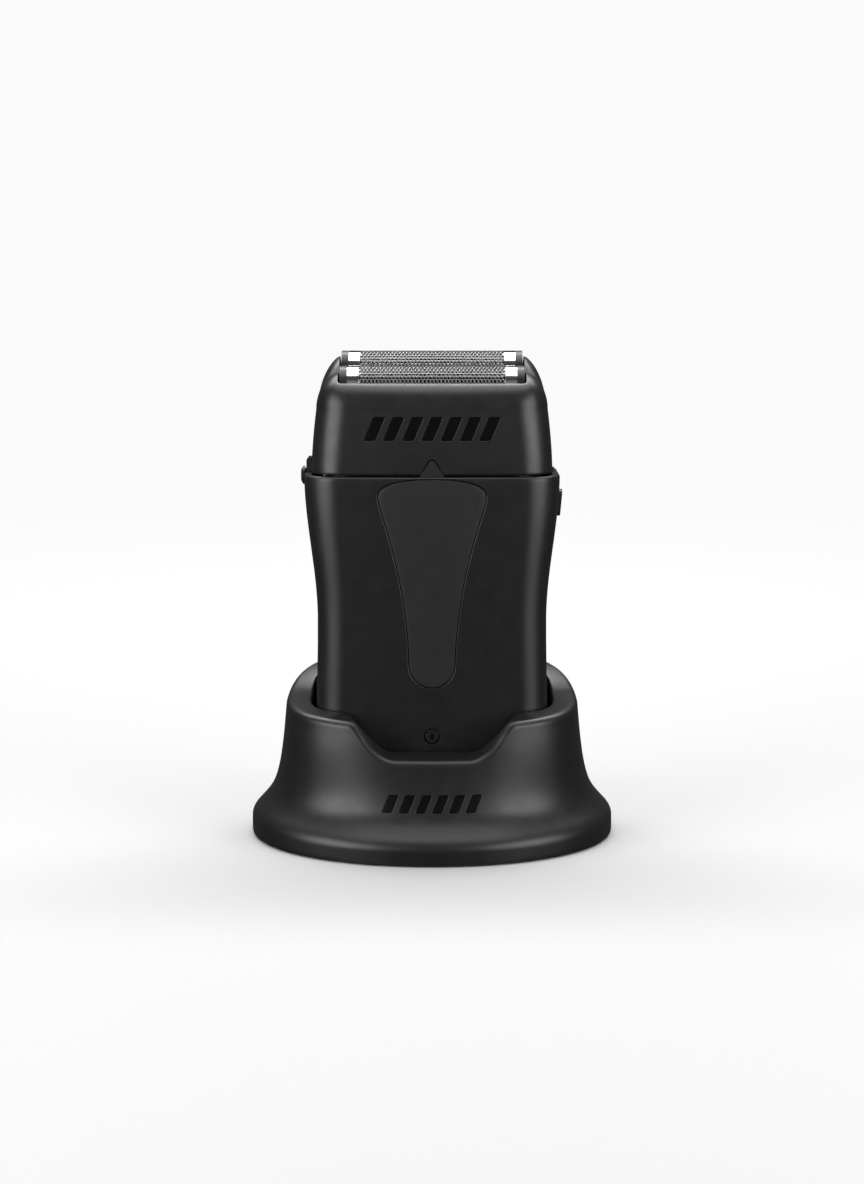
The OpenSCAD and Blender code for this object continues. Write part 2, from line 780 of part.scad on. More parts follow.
bridge_z = [99.2, 101.4];
module bridge_flexures() {
    color(c_ivory) both_sides() {
        box([flexure_x, -5, deck_top + 0.02], [flexure_x + 0.7, 5, bridge_z[0] - 0.05]);
        box([flexure_x, -5, deck_top + 0.02], [flexure_x + 2.6, 5, deck_top + 1]);
    }
}

// ---------------------------------------------------------------- switch and release button

slide_lean = 5; // the slider moves along the body's side, which leans out by this much
pad_t = 0.95;
pad_half = 3.45;
module power_slider() {
    foot_z = 84.6;
    foot_x = body_half_width(foot_z) + 0.3;
    color(c_plastic) {
        translate([foot_x, 0, foot_z]) rotate([0, slide_lean, 0]) difference() {
            rotate([0, 90, 0]) linear_extrude(pad_t) translate([-pad_half, 0])
                polygon(rounded_rect(pad_half, 2.1, 1.2));
            for (k = [0:3]) box([pad_t - 0.2, -1.5, 1.7 + 1.2 * k], [pad_t + 1, 1.5, 2.2 + 1.2 * k]);
        }
        box([29.6, -1, stem_z[0]], [foot_x + 0.5, 1, stem_z[1]]);
    }
}

module switch_body() {
    color(c_plastic) {
        difference() {
            box([24.2, -3, 83.4], [29.5, 3, deck_z - 0.05]);
            box([28.2, -1.5, 84.4], [30, 1.5, deck_z - 0.4]);
        }
        box([22.6, -4.5, 80], [24.25, 4.5, deck_z - 0.05]);
    }
}

button_z = 95.2;
button_r = 2.4;
ear_x = rim_half - 1.7; // inner face of the ear
ear_top = 100;
flange_x = rim_half - wall - 0.2; // outer face of the flange inside the body
flange_t = 1.05;
module release_button() {
    color(c_plastic) difference() {
        union() {
            translate([-rim_half, 0, button_z]) {
                x_rod(button_r, -0.7, -0.2);
                translate([-1.2, 0, 0]) rotate([0, 90, 0]) cylinder(r1 = 1.5, r2 = button_r, h = 0.51);
            }
            // ear that stands on the rim beside the head cover
            box([-rim_half + 0.3, -2.8, rim_z + 0.15], [-ear_x, 2.8, ear_top]);
            // stem through the notch, and the flange that keeps the button in the body
            box([-rim_half - 0.25, -1.5, 93.8], [-ear_x - 0.3, 1.5, 97]);
            box([-ear_x - 0.4, -1.5, 93.8], [-flange_x + 0.1, 1.5, 96]);
            box([-flange_x, -2.6, 93.5], [-flange_x + flange_t, 2.6, 96]);
        }
        translate([-rim_half + 0.3, 0, ear_top]) rotate([0, 30, 0]) cube([0.7, 10, 1.6], center = true);
    }
}

module release_spring() {
    low = flange_x - flange_t - 0.1;
    color(c_steel) translate([-low, 0, 95]) rotate([0, 90, 0]) coil(1.05, 0.14, 0, low - 27.05, 4);
}

// ---------------------------------------------------------------- drive bridge and cutters

module drive_bridge() {
    color(c_ivory) difference() {
        union() {
            box([-13, -9.5, bridge_z[0]], [13, 10.7, bridge_z[1]]);
            both_sides() box([3.1, -4, 95.6], [5.1, 4, bridge_z[0] + 0.1]);
            for (y = [front_y, rear_y]) translate([0, y, 0]) rod(3, bridge_z[1] - 0.1, 104);
        }
        for (y = [front_y, rear_y]) translate([0, y, 0]) rod(1.5, 95, 110);
        for (s = [-1, 1], y = [-6, 7]) translate([8.5 * s, y, 0]) rod(1.6, 90, 110);
    }
}

module drive_pins() {
    color(c_steel) {
        translate([0, front_y, 0]) rod(1.5, bridge_z[0] + 0.1, front_crest - foil_r - 3);
        translate([0, rear_y, 0]) rod(1.5, bridge_z[0] + 0.1, rear_crest - foil_r - 3);
    }
}

module cutter_carrier(y, crest) {
    top = crest - foil_r;
    color(c_plastic) translate([0, y, 0]) difference() {
        union() {
            box([-19.2, -3, top - 5], [19.2, 3, top - 0.6]);
            both_sides() box([18.45, -3, top - 1], [19.2, 3, top + 1.5]);
        }
        rod(1.56, 90, top - 1.6);
    }
}

module cutter_blades(y, crest) {
    top = crest - foil_r;
    pitch = 36 / (blade_count - 1);
    color(c_steel) for (i = [0:blade_count - 1]) translate([-18 + pitch * i, y, top]) intersection() {
        difference() {
            x_rod(blade_r, -0.15, 0.15);
            x_rod(3.1, -1, 1);
            box([-1, -3.1, -9], [1, 3.1, 0]);
        }
        box([-1, -6, -2.5], [1, 6, 6]);
    }
}

module cutter_spring(y, crest) {
    color(c_steel) translate([0, y, 0]) coil(2.1, 0.22, 104.02, crest - foil_r - 5.02, 4);
}

module front_cutter_blades() { cutter_blades(front_y, front_crest); }
module front_cutter_carrier() { cutter_carrier(front_y, front_crest); }
module front_cutter_spring() { cutter_spring(front_y, front_crest); }
module rear_cutter_blades() { cutter_blades(rear_y, rear_crest); }
module rear_cutter_carrier() { cutter_carrier(rear_y, rear_crest); }
module rear_cutter_spring() { cutter_spring(rear_y, rear_crest); }

// ---------------------------------------------------------------- foils

foil_leg = 10; // from crest to the lower edge of a foil
module foil(y, crest) {
    color(c_steel) translate([0, y, crest - foil_r]) difference() {
        union() {
            x_rod(foil_r, -foil_half, foil_half);
            box([-foil_half, -foil_r, foil_r - foil_leg], [foil_half, foil_r, 0]);
        }
        x_rod(foil_r - foil_t, -30, 30);
        box([-30, -foil_r + foil_t, -20], [30, foil_r - foil_t, 0]);
    }
}

rail_y = [5.02, 5.4];
module foil_holder(y, crest) {
    color(c_plastic) translate([0, y, crest - foil_r]) {
        both_sides() union() {
            x_rod(foil_r, foil_half + 0.02, holder_half);
            box([foil_half + 0.02, -foil_r, -7], [holder_half, foil_r, 0]);
            box([foil_half - 1.5, -rail_y[1], -7], [holder_half, rail_y[1], -5.2]);
        }
        // rails under the foil's legs, wide enough apart for the blades to pass between them
        for (side = [0, 180]) rotate(side) box([-foil_half, rail_y[0], -6.2], [foil_half, rail_y[1], -5.2]);
    }
}

module front_foil() { foil(front_y, front_crest); }
module front_foil_holder() { foil_holder(front_y, front_crest); }
module rear_foil() { foil(rear_y, rear_crest); }
module rear_foil_holder() { foil_holder(rear_y, rear_crest); }

shelf_z = 104.4;
spring_x = 22.5;
module foil_springs(y, crest) {
    color(c_steel) for (s = [-1, 1]) translate([s * spring_x, y, 0])
        coil(0.95, 0.16, shelf_z + 0.02, crest - foil_r - 7.02, 4);
}
module front_foil_springs() { foil_springs(front_y, front_crest); }
module rear_foil_springs() { foil_springs(rear_y, rear_crest); }

module foil_cassette() {
    color(c_plastic) difference() {
        union() {
            difference() {
                slab(rounded_rect(27.4, 13.5, 6), deck_top + 0.95, 113.5);
                slab(rounded_rect(23.95, 12.75, 2), 90, 120);
                slab(rounded_rect(25.6, 12.9, 4), 90, shelf_z - 1.6);
            }
            both_sides() for (y = [front_y, rear_y])
                box([20.8, y - 4.9, shelf_z - 1.6], [24.2, y + 4.9, shelf_z]);
            box([-24.1, -0.4, shelf_z - 1.6], [24.1, 1.6, 112]);
        }
        // clearance for the release button's spring seat and for the guide tab's foot
        box([-40, -2.2, 90], [-25, 2.2, 98]);
        box([-2.8, -20, 90], [2.8, -10, 102]);
    }
}

// ---------------------------------------------------------------- head cover

slot_half = 24.1;
slot_front = -12.1;
slot_back = 13.3;
cover_wall = 1.9;
cover_r = 8.6;
cover_half = 31.1; // half width at the lower edge
cover_deep = 17;   // and half depth
shoulder_z = 113;
crease_y = -1.6;
arc_steps = 6;
face_steps = 6;
side_steps = [-1, -0.72, -0.45, crease_y / cover_r, 0.05, 0.3, 0.65, 1];

function cover_taper(z) = clamp((z - head_z) / (shoulder_z - head_z));
function cover_half_width(z) = cover_half - 1.25 * pow(cover_taper(z), 1.65);
function cover_half_depth(z) = cover_deep - 1.1 * pow(cover_taper(z), 1.6);
// The cover's top follows the two foils: a hump beside each, the rear one higher
function cover_top(y) = max(front_crest - 1.7 - 0.067 * pow(y + 6, 2),
    rear_crest - 1.45 - 0.067 * pow(y - 7, 2));

// One turn around the cover, anticlockwise from the front of its right side.
function cover_loop(hw, hd, r, bulge) = let(
    cx = hw - r,
    cy = hd - r,
    right = [for (t = side_steps) [hw, cy * t]],
    back_corner = [for (i = [1:arc_steps]) let(a = 90 * i / arc_steps) [cx + r * cos(a), cy + r * sin(a)]],
    back = [for (i = [1:face_steps / 2]) let(x = cx * (1 - 2 * i / face_steps))
        [x, hd + bulge * (1 - pow(x / cx, 2))]],
    front_corner = [for (p = reversed(back_corner)) [p[0], -p[1]]],
    front = [for (p = reversed(back)) [p[0], -p[1]]],
    half = concat(front, front_corner, right, back_corner, back),
    other = [for (i = [1:len(half) - 2]) let(p = half[len(half) - 1 - i]) [-p[0], p[1]]]
) concat(half, other);

// The edge of the foils' opening, with a point for each point of cover_loop
function slot_loop() = let(
    cx = slot_half - 3,
    right = [for (t = side_steps) [slot_half, cover_r * t]],
    to_corner = [0.35, 0.7, 0.95],
    along = [0.3, 1.6, 3],
    back_corner = concat([for (t = to_corner) [slot_half, mix(cover_r, slot_back, t)]],
        [for (d = along) [slot_half - d, slot_back]]),
    front_corner = reversed(concat([for (t = to_corner) [slot_half, mix(-cover_r, slot_front, t)]],
        [for (d = along) [slot_half - d, slot_front]])),
    back = [for (i = [1:face_steps / 2]) [cx * (1 - 2 * i / face_steps), slot_back]],
    front = [for (p = reversed(back)) [p[0], slot_front]],
    half = concat(front, front_corner, right, back_corner, back),
    other = [for (i = [1:len(half) - 2]) let(p = half[len(half) - 1 - i]) [-p[0], p[1]]]
) concat(half, other);

// Rings over the shoulder: from the wall's top at angle 0 to the slot's edge at 90.
// The shoulder draws in a little faster beside the rear foil.
function shoulder_power(y) = mix(1.2, 1.42, smooth((y - crease_y) / 5));
function shoulder_ring(base, slot, z, drop, angle) = [for (i = [0:len(slot) - 1]) let(
    p = base[i],
    q = slot[i],
    out = pow(max(cos(angle), 0), shoulder_power(q[1])),
    top = cover_top(q[1]) - drop
) [mix(q[0], p[0], out), mix(q[1], p[1], out), mix(z, top, sin(angle))]];

module cover_skin() {
    levels = [0, 0.025, 0.2, 0.4, 0.6, 0.8, 1];
    z_at = function(t) mix(head_z, shoulder_z, t);
    outline = function(z, inset) cover_loop(cover_half_width(z) - inset, cover_half_depth(z) - inset,
        cover_r - inset, crown);
    slot = slot_loop();
    inner_z = shoulder_z - 1.5;
    outside = [for (t = levels) at_height(outline(z_at(t), t == 0 ? 0.4 : 0), z_at(t))];
    over = [for (a = [15:15:90]) shoulder_ring(outline(shoulder_z, 0), slot, shoulder_z, 0, a)];
    under = [for (a = [90, 60, 30, 0])
        shoulder_ring(outline(inner_z, cover_wall), slot, inner_z, cover_wall, a)];
    inside = [for (t = [0.8, 0.4, 0]) at_height(outline(z_at(t), cover_wall), z_at(t))];
    ring_solid(concat(outside, over, under, inside), true);
}

module head_cover() {
    color(c_shell) difference() {
        cover_skin();
        // notch for the deck's tab
        translate([0, -10, rim_z]) rotate([90, 0, 0]) linear_extrude(10)
            offset(delta = 0.4) tab_outline();
        // recess that the release button moves into
        box([-40, -3.1, rim_z], [-ear_x + button_travel + 0.25, 3.1, ear_top + 0.7]);
    }
}

module housing_screws() {
    color(c_steel) for (p = post_at) translate([p[0], 13.4, p[1]]) rotate([90, 0, 0])
        translate([0, 0, -1.5]) screw_up(2.2, 1.4, 0.95, 20);
}

// ---------------------------------------------------------------- assembly

stand_shell();
stand_base_plate();
stand_feet();
stand_screws();
stand_ballast();
stand_board();
charge_port();
charge_port_tongue();
pin_block();
pin_springs();
charge_pins();
front_housing();
rear_housing();
base_cap();
front_inlay();
indicator_lens();
indicator_led();
main_board();
board_parts();
battery_cell();
battery_tabs();
battery_leads();
charge_contacts();
chassis();
motor_can();
motor_end_cap();
motor_magnets();
motor_bushes();
motor_leads();
top_deck();
deck_screws();
motor_screws();
deck_seal();
bridge_flexures();
switch_body();
housing_screws();
release_spring();
power_slider();
release_button();
motor_shaft();
armature_core();
armature_windings();
commutator();
eccentric();
drive_bridge();
drive_pins();
front_cutter_spring();
rear_cutter_spring();
front_cutter_blades();
front_cutter_carrier();
rear_cutter_blades();
rear_cutter_carrier();
head_cover();
foil_cassette();
front_foil_springs();
rear_foil_springs();
front_foil();
front_foil_holder();
rear_foil();
rear_foil_holder();
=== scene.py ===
import math

import bmesh
import bpy
import numpy as np
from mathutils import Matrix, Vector, kdtree


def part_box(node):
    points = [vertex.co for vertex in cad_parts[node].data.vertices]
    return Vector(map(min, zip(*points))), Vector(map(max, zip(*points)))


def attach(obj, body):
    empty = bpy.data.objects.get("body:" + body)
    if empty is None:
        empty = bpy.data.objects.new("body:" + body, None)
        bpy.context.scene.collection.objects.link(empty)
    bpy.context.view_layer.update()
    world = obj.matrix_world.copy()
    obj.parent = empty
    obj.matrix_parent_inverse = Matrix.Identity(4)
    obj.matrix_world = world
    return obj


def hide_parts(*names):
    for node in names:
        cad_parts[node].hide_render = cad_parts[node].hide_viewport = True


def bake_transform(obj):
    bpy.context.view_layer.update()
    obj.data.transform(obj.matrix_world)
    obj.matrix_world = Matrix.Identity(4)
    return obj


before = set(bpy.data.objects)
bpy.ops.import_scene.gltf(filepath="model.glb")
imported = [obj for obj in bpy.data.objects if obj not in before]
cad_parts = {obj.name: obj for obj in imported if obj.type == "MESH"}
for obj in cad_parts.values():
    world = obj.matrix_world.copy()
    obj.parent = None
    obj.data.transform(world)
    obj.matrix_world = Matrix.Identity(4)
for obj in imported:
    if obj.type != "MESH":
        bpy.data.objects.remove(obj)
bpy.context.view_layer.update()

# The looks of a twin-foil shaver in its charging stand.
# Shapes are worked out in millimetres, in the frame's axes, and turned into metres as each mesh is built.

MM = 0.001


def box_mm(node):
    low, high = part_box(node)
    return np.array(low) / MM, np.array(high) / MM


# ---------------------------------------------------------------- driving dimensions, from the frame

stand_low, stand_high = box_mm("stand_shell")
body_high = box_mm("front_housing")[1]
base_z = box_mm("base_cap")[0][2]
front_foil_box = box_mm("front_foil")
rear_foil_box = box_mm("rear_foil")
inlay_box = box_mm("front_inlay")
cover_box = box_mm("head_cover")
lens_box = box_mm("indicator_lens")

foot_a = stand_high[0]
foot_b = stand_high[1]
collar_back = stand_high[2]
# the well's floor is a hair under the handset
floor_z = base_z - 0.05
lug_height = 1.1
rim_z = body_high[2] - lug_height
rim_half = body_high[0]
head_z = cover_box[0][2]
front_crest = front_foil_box[1][2]
rear_crest = rear_foil_box[1][2]
foil_r = (front_foil_box[1][1] - front_foil_box[0][1]) / 2
front_y = (front_foil_box[1][1] + front_foil_box[0][1]) / 2
rear_y = (rear_foil_box[1][1] + rear_foil_box[0][1]) / 2
inlay_foot = inlay_box[0][2]
inlay_top = inlay_box[1][2]
lens_z = (lens_box[0][2] + lens_box[1][2]) / 2


# ---------------------------------------------------------------- small maths

def clamp(t):
    return np.clip(t, 0, 1)


def smooth(t):
    c = clamp(t)
    return c * c * (3 - 2 * c)


def mix(a, b, t):
    return a + (b - a) * t


def cos_sin(degrees):
    return math.cos(math.radians(degrees)), math.sin(math.radians(degrees))


def full_turn(count):
    """Angles evenly round a circle."""
    return np.linspace(0, 2 * math.pi, count, endpoint=False)


def soft_min(a, b, k):
    h = np.maximum(k - np.abs(a - b), 0) / k
    return np.minimum(a, b) - h * h * k / 4


def edge_draw(r, d):
    """How far a rounded edge of radius r has drawn in, at a distance d from its end."""
    d = np.minimum(d, r)
    return r - np.sqrt(np.maximum(r * r - (r - d) ** 2, 0))


def superellipse(a, b, n, angle):
    return (np.abs(np.cos(angle) / a) ** n + np.abs(np.sin(angle) / b) ** n) ** (-1 / n)


# ---------------------------------------------------------------- mesh helpers

def strip_faces(rows, cols, closed, wrap=False):
    """Quads between a grid's rows. They face outwards when rows climb and columns run anticlockwise."""
    faces = []
    for i in range(rows if wrap else rows - 1):
        k = (i + 1) % rows
        for j in range(cols if closed else cols - 1):
            n = (j + 1) % cols
            faces.append((i * cols + j, i * cols + n, k * cols + n, k * cols + j))
    return faces


def grid_mesh(rings, closed=True, wrap=False, caps=(False, False)):
    """(points, faces) of a grid of rings. A cap closes the first or last ring with a fan."""
    rings = np.asarray(rings, float)
    rows, cols = rings.shape[:2]
    points = rings.reshape(-1, 3).tolist()
    faces = strip_faces(rows, cols, closed, wrap)
    for cap, first, flip in ((caps[0], 0, True), (caps[1], (rows - 1) * cols, False)):
        if cap:
            centre = len(points)
            points.append(rings[0 if flip else -1].mean(axis=0).tolist())
            for j in range(cols):
                a, b = first + j, first + (j + 1) % cols
                faces.append((centre, b, a) if flip else (centre, a, b))
    return points, faces


def joined(*meshes):
    points, faces = [], []
    for p, f in meshes:
        n = len(points)
        points += list(p)
        faces += [tuple(n + i for i in face) for face in f]
    return points, faces


def new_object(name, mesh, sharp=35, merge=False):
    """An object from (points in mm, faces), smooth except at edges sharper than the angle."""
    points, faces = mesh
    data = bpy.data.meshes.new(name)
    data.from_pydata((np.asarray(points, float) * MM).tolist(), [], faces)
    if merge:
        bm = bmesh.new()
        bm.from_mesh(data)
        bmesh.ops.remove_doubles(bm, verts=bm.verts, dist=1e-7)
        bmesh.ops.dissolve_degenerate(bm, edges=bm.edges, dist=1e-8)
        bmesh.ops.recalc_face_normals(bm, faces=bm.faces)
        bm.to_mesh(data)
        bm.free()
    data.validate()
    data.shade_smooth()
    data.set_sharp_from_angle(angle=math.radians(sharp))
    obj = bpy.data.objects.new(name, data)
    bpy.context.collection.objects.link(obj)
    return obj


def piece(obj, body, material, slot, *nodes):
    """Gives a finished mesh its material and its place in the frame."""
    obj.data.materials.clear()
    obj.data.materials.append(material)
    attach(obj, body)
    if nodes:
        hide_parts(*nodes)
    return obj


def soften(obj, width):
    """Rounds off an object's sharp edges."""
    bevel = obj.modifiers.new("softened", "BEVEL")
    bevel.width = width * MM
    bevel.segments = 3
    bevel.limit_method = "ANGLE"
    bevel.angle_limit = math.radians(50)
    bevel.harden_normals = True


def carve(obj, *cutters, agree=25):
    """Cuts the cutters out of obj. The skin around each cut keeps the normals that it had before."""
    source = obj.data
    tree = kdtree.KDTree(len(source.vertices))
    for v in source.vertices:
        tree.insert(v.co, v.index)
    tree.balance()
    for cutter in cutters:
        cut = obj.modifiers.new("cut", "BOOLEAN")
        cut.operation = "DIFFERENCE"
        cut.solver = "EXACT"
        cut.object = cutter
    bpy.context.view_layer.update()
    result = bpy.data.meshes.new_from_object(obj.evaluated_get(bpy.context.evaluated_depsgraph_get()))
    obj.modifiers.clear()
    result.shade_smooth()
    result.set_sharp_from_angle(angle=math.radians(35))
    old = set()
    for v in result.vertices:
        if tree.find(v.co)[2] < 2e-8:
            old.add(v.index)
    near_cut = {i for p in result.polygons if any(v not in old for v in p.vertices) for i in p.vertices}
    normals = [Vector(n.vector) for n in result.corner_normals]
    limit = math.cos(math.radians(agree))
    kept = {}
    for index in near_cut:
        total = Vector()
        for _, i, d in tree.find_n(result.vertices[index].co, 4):
            total += Vector(source.vertices[i].normal) / (d + 1e-6)
        kept[index] = total.normalized()
    for p in result.polygons:
        for loop in p.loop_indices:
            n = kept.get(result.loops[loop].vertex_index)
            if n is not None and n.dot(p.normal) > limit:
                normals[loop] = n
    result.normals_split_custom_set(normals)
    obj.data = result
    for cutter in cutters:
        bpy.data.objects.remove(cutter)
    return obj


def rounded_outline(points, offset):
    """A closed (x, z) outline moved outwards by offset along its normals."""
    p = np.asarray(points, float)
    tangent = np.roll(p, -1, axis=0) - np.roll(p, 1, axis=0)
    tangent /= np.linalg.norm(tangent, axis=1)[:, None]
    normal = np.stack([tangent[:, 1], -tangent[:, 0]], axis=1)
    area = np.sum(p[:, 0] * np.roll(p[:, 1], -1) - np.roll(p[:, 0], -1) * p[:, 1])
    return p + normal * offset * np.sign(area)


def on_surface(outline, surface_y, depth):
    """The outline laid on the surface y(x, z), and moved back from it by depth."""
    return np.stack([outline[:, 0], surface_y(outline[:, 0], outline[:, 1]) + depth, outline[:, 1]], axis=1)


def pocket_cutter(name, outline, surface_y, depth, gap=0.0, lip=0.14, proud=1.5):
    """A cutter for a pocket whose edge is softened by a small lip."""
    steps = ((gap + lip, -proud), (gap + lip, -0.01), (gap + lip * 0.45, lip * 0.3),
             (gap + lip * 0.1, lip * 0.7), (gap, lip * 1.3), (gap, depth))
    rings = [on_surface(rounded_outline(outline, grow), surface_y, back) for grow, back in steps]
    return new_object(name, grid_mesh(rings, caps=(True, True)), merge=True)


def plate(outline, surface_y, top, bottom, edge=0.2, fill=6):
    """A plate with a rolled edge that follows the surface: each side closes on the line x = its middle."""
    middle = (outline[:, 0].max() + outline[:, 0].min()) / 2
    steps = ((-edge, bottom), (0, bottom - 0.05), (0, top + edge * 0.8),
             (-edge * 0.3, top + edge * 0.25), (-edge, top))
    rings = [on_surface(rounded_outline(outline, grow), surface_y, back) for grow, back in steps]
    inner = rounded_outline(outline, -edge)
    for k in range(1, fill + 1):
        flat = inner.copy()
        flat[:, 0] = mix(inner[:, 0], middle, k / fill)
        rings.append(on_surface(flat, surface_y, top))
    return grid_mesh(rings, caps=(True, False))


def coil(r, wire, low, high, turns, centre=(0, 0), axis=2, sides=10):
    """A round-wire spring with closed ends, along Z or X."""
    t = np.linspace(0, 1, 22 * turns + 1)
    # the first and last tenth of the wire stay level
    along = mix(low + wire, high - wire, clamp((t - 0.1) / 0.8))
    b = full_turn(sides)
    out = r + wire * np.cos(b)
    rings = []
    for a, middle in zip(t * turns * 2 * math.pi, along):
        rings.append(np.stack([out * math.cos(a), out * math.sin(a), middle + wire * np.sin(b)], axis=1))
    rings = np.array(rings)[::-1]
    rings[:, :, 0] += centre[0]
    rings[:, :, 1] += centre[1]
    if axis == 0:
        rings = np.stack([rings[:, :, 2], rings[:, :, 1], -rings[:, :, 0]], axis=2)
    return grid_mesh(rings, caps=(True, True))


# ---------------------------------------------------------------- materials

class Nodes:
    """A short way to write a material's nodes."""

    def __init__(self, name):
        self.material = bpy.data.materials.new(name)
        self.material.use_nodes = True
        self.tree = self.material.node_tree
        self.shader = self.tree.nodes["Principled BSDF"]
        self.place = self.add("ShaderNodeTexCoord").outputs["Object"]

    def add(self, kind, **values):
        node = self.tree.nodes.new(kind)
        for key, value in values.items():
            if hasattr(node, key):
                setattr(node, key, value)
            else:
                node.inputs[key.replace("_", " ")].default_value = value
        return node

    def link(self, a, b):
        self.tree.links.new(a, b)

    def noise(self, scale, detail=3.0, stretch=(1, 1, 1), roughness=0.5):
        mapping = self.add("ShaderNodeMapping")
        mapping.inputs["Scale"].default_value = [scale * s for s in stretch]
        self.link(self.place, mapping.inputs["Vector"])
        noise = self.add("ShaderNodeTexNoise", Scale=1.0, Detail=detail, Roughness=roughness)
        self.link(mapping.outputs["Vector"], noise.inputs["Vector"])
        return noise.outputs["Fac"]

    def spread(self, value, low, high, start=0.3, end=0.7):
        """The value from start to end becomes low to high."""
        node = self.add("ShaderNodeMapRange")
        for key, number in zip(("From Min", "From Max", "To Min", "To Max"), (start, end, low, high)):
            node.inputs[key].default_value = number
        self.link(value, node.inputs["Value"])
        return node.outputs["Result"]

    def tint(self, value, first, second):
        ramp = self.add("ShaderNodeMix", data_type="RGBA")
        ramp.inputs[6].default_value = (*first, 1)
        ramp.inputs[7].default_value = (*second, 1)
        self.link(value, ramp.inputs[0])
        self.link(ramp.outputs[2], self.shader.inputs["Base Color"])

    def rough(self, value, low, high, start=0.3, end=0.7):
        self.link(self.spread(value, low, high, start, end), self.shader.inputs["Roughness"])

    def bumps(self, *layers):
        """layers of (value, height in mm), one on another."""
        last = None
        for value, height in layers:
            bump = self.add("ShaderNodeBump")
            bump.inputs["Strength"].default_value = 1.0
            bump.inputs["Distance"].default_value = height * MM
            self.link(value, bump.inputs["Height"])
            if last:
                self.link(last.outputs["Normal"], bump.inputs["Normal"])
            last = bump
        self.link(last.outputs["Normal"], self.shader.inputs["Normal"])

    def set(self, **values):
        for key, value in values.items():
            self.shader.inputs[key.replace("_", " ")].default_value = value
        return self


def plastic(name, dark, light, roughness, grain, coarse=0.0, specular=0.5):
    """Moulded plastic: a fine spark-eroded grain, with slow drifts of colour and gloss."""
    m = Nodes(name)
    slow = m.noise(35, 2)
    fine = m.noise(2600, 2)
    m.tint(m.spread(slow, 0, 1), dark, light)
    m.rough(m.noise(240, 3), roughness - 0.03, roughness + 0.03)
    layers = [(fine, grain)]
    if coarse:
        layers.append((m.noise(700, 2), coarse))
    m.bumps(*layers)
    m.set(Specular_IOR_Level=specular)
    return m.material


def metal(name, dark, light, roughness, brush=(1, 1, 1), scale=900, height=0.002):
    """Bare metal with fine marks, which brush can draw out along one direction."""
    m = Nodes(name)
    marks = m.noise(scale, 4, brush)
    m.tint(m.spread(m.noise(60, 2), 0, 1), dark, light)
    m.rough(marks, roughness * 0.75, roughness * 1.3)
    m.bumps((marks, height))
    m.set(Metallic=1.0)
    return m.material


def windings(name, colour, shade, turns):
    """Enamelled wire wound round Z."""
    m = Nodes(name)
    wave = m.add("ShaderNodeTexWave", wave_type="BANDS", bands_direction="Z", Scale=turns, Distortion=0.6)
    m.link(m.place, wave.inputs["Vector"])
    m.tint(wave.outputs["Fac"], shade, colour)
    m.rough(m.noise(500), 0.25, 0.4)
    m.bumps((wave.outputs["Fac"], 0.12))
    m.set(Metallic=0.8)
    return m.material


def board(name):
    """Solder mask over a faint pattern of tracks."""
    m = Nodes(name)
    bricks = m.add("ShaderNodeTexBrick", Scale=260.0)
    bricks.inputs["Color1"].default_value = (0.012, 0.10, 0.045, 1)
    bricks.inputs["Color2"].default_value = (0.010, 0.075, 0.035, 1)
    bricks.inputs["Mortar"].default_value = (0.02, 0.16, 0.075, 1)
    swap = m.add("ShaderNodeMapping")
    swap.inputs["Rotation"].default_value = (math.radians(90), 0, 0)
    m.link(m.place, swap.inputs["Vector"])
    m.link(swap.outputs["Vector"], bricks.inputs["Vector"])
    m.link(bricks.outputs["Color"], m.shader.inputs["Base Color"])
    m.rough(m.noise(300), 0.25, 0.36)
    m.bumps((bricks.outputs["Fac"], 0.03))
    return m.material


def sleeve(name, first, second, roughness):
    """Shrink sleeve or cable vinyl, with long faint folds."""
    m = Nodes(name)
    m.tint(m.spread(m.noise(90, 2), 0, 1), first, second)
    m.rough(m.noise(400), roughness - 0.05, roughness + 0.08)
    m.bumps((m.noise(260, 3, (1, 1, 0.15)), 0.03))
    return m.material


shell_black = plastic("shell_black", (0.0054, 0.0054, 0.0055), (0.0066, 0.0066, 0.0067),
                      roughness=0.39, grain=0.0035, coarse=0.004, specular=0.42)
inlay_black = plastic("inlay_black", (0.0084, 0.0084, 0.0086), (0.0098, 0.0098, 0.0100),
                      roughness=0.50, grain=0.0045, coarse=0.005, specular=0.4)
tab_black = plastic("tab_black", (0.0075, 0.0075, 0.0075), (0.0090, 0.0090, 0.0090),
                    roughness=0.45, grain=0.0035, coarse=0.004, specular=0.4)
plain_black = plastic("plain_black", (0.008, 0.008, 0.008), (0.011, 0.011, 0.011),
                      roughness=0.38, grain=0.003, specular=0.45)
mark_black = plastic("mark_black", (0.0008, 0.0008, 0.0009), (0.0012, 0.0012, 0.0013),
                     roughness=0.45, grain=0.001, specular=0.08)
window_black = plastic("window_black", (0.0085, 0.0085, 0.0087), (0.0105, 0.0105, 0.0107),
                       roughness=0.28, grain=0.0005, specular=0.4)
ivory = plastic("ivory", (0.62, 0.60, 0.52), (0.70, 0.68, 0.60), roughness=0.42, grain=0.003, coarse=0.004)
led_white = plastic("led_white", (0.72, 0.72, 0.68), (0.80, 0.80, 0.76), roughness=0.3, grain=0.001)
rubber = plastic("rubber", (0.012, 0.012, 0.012), (0.020, 0.020, 0.020),
                 roughness=0.75, grain=0.012, coarse=0.02, specular=0.3)
steel = metal("steel", (0.52, 0.53, 0.55), (0.64, 0.65, 0.67), roughness=0.24, brush=(1, 1, 6))
blade_steel = metal("blade_steel", (0.22, 0.22, 0.23), (0.30, 0.30, 0.31),
                    roughness=0.30, brush=(1, 5, 1), scale=700)
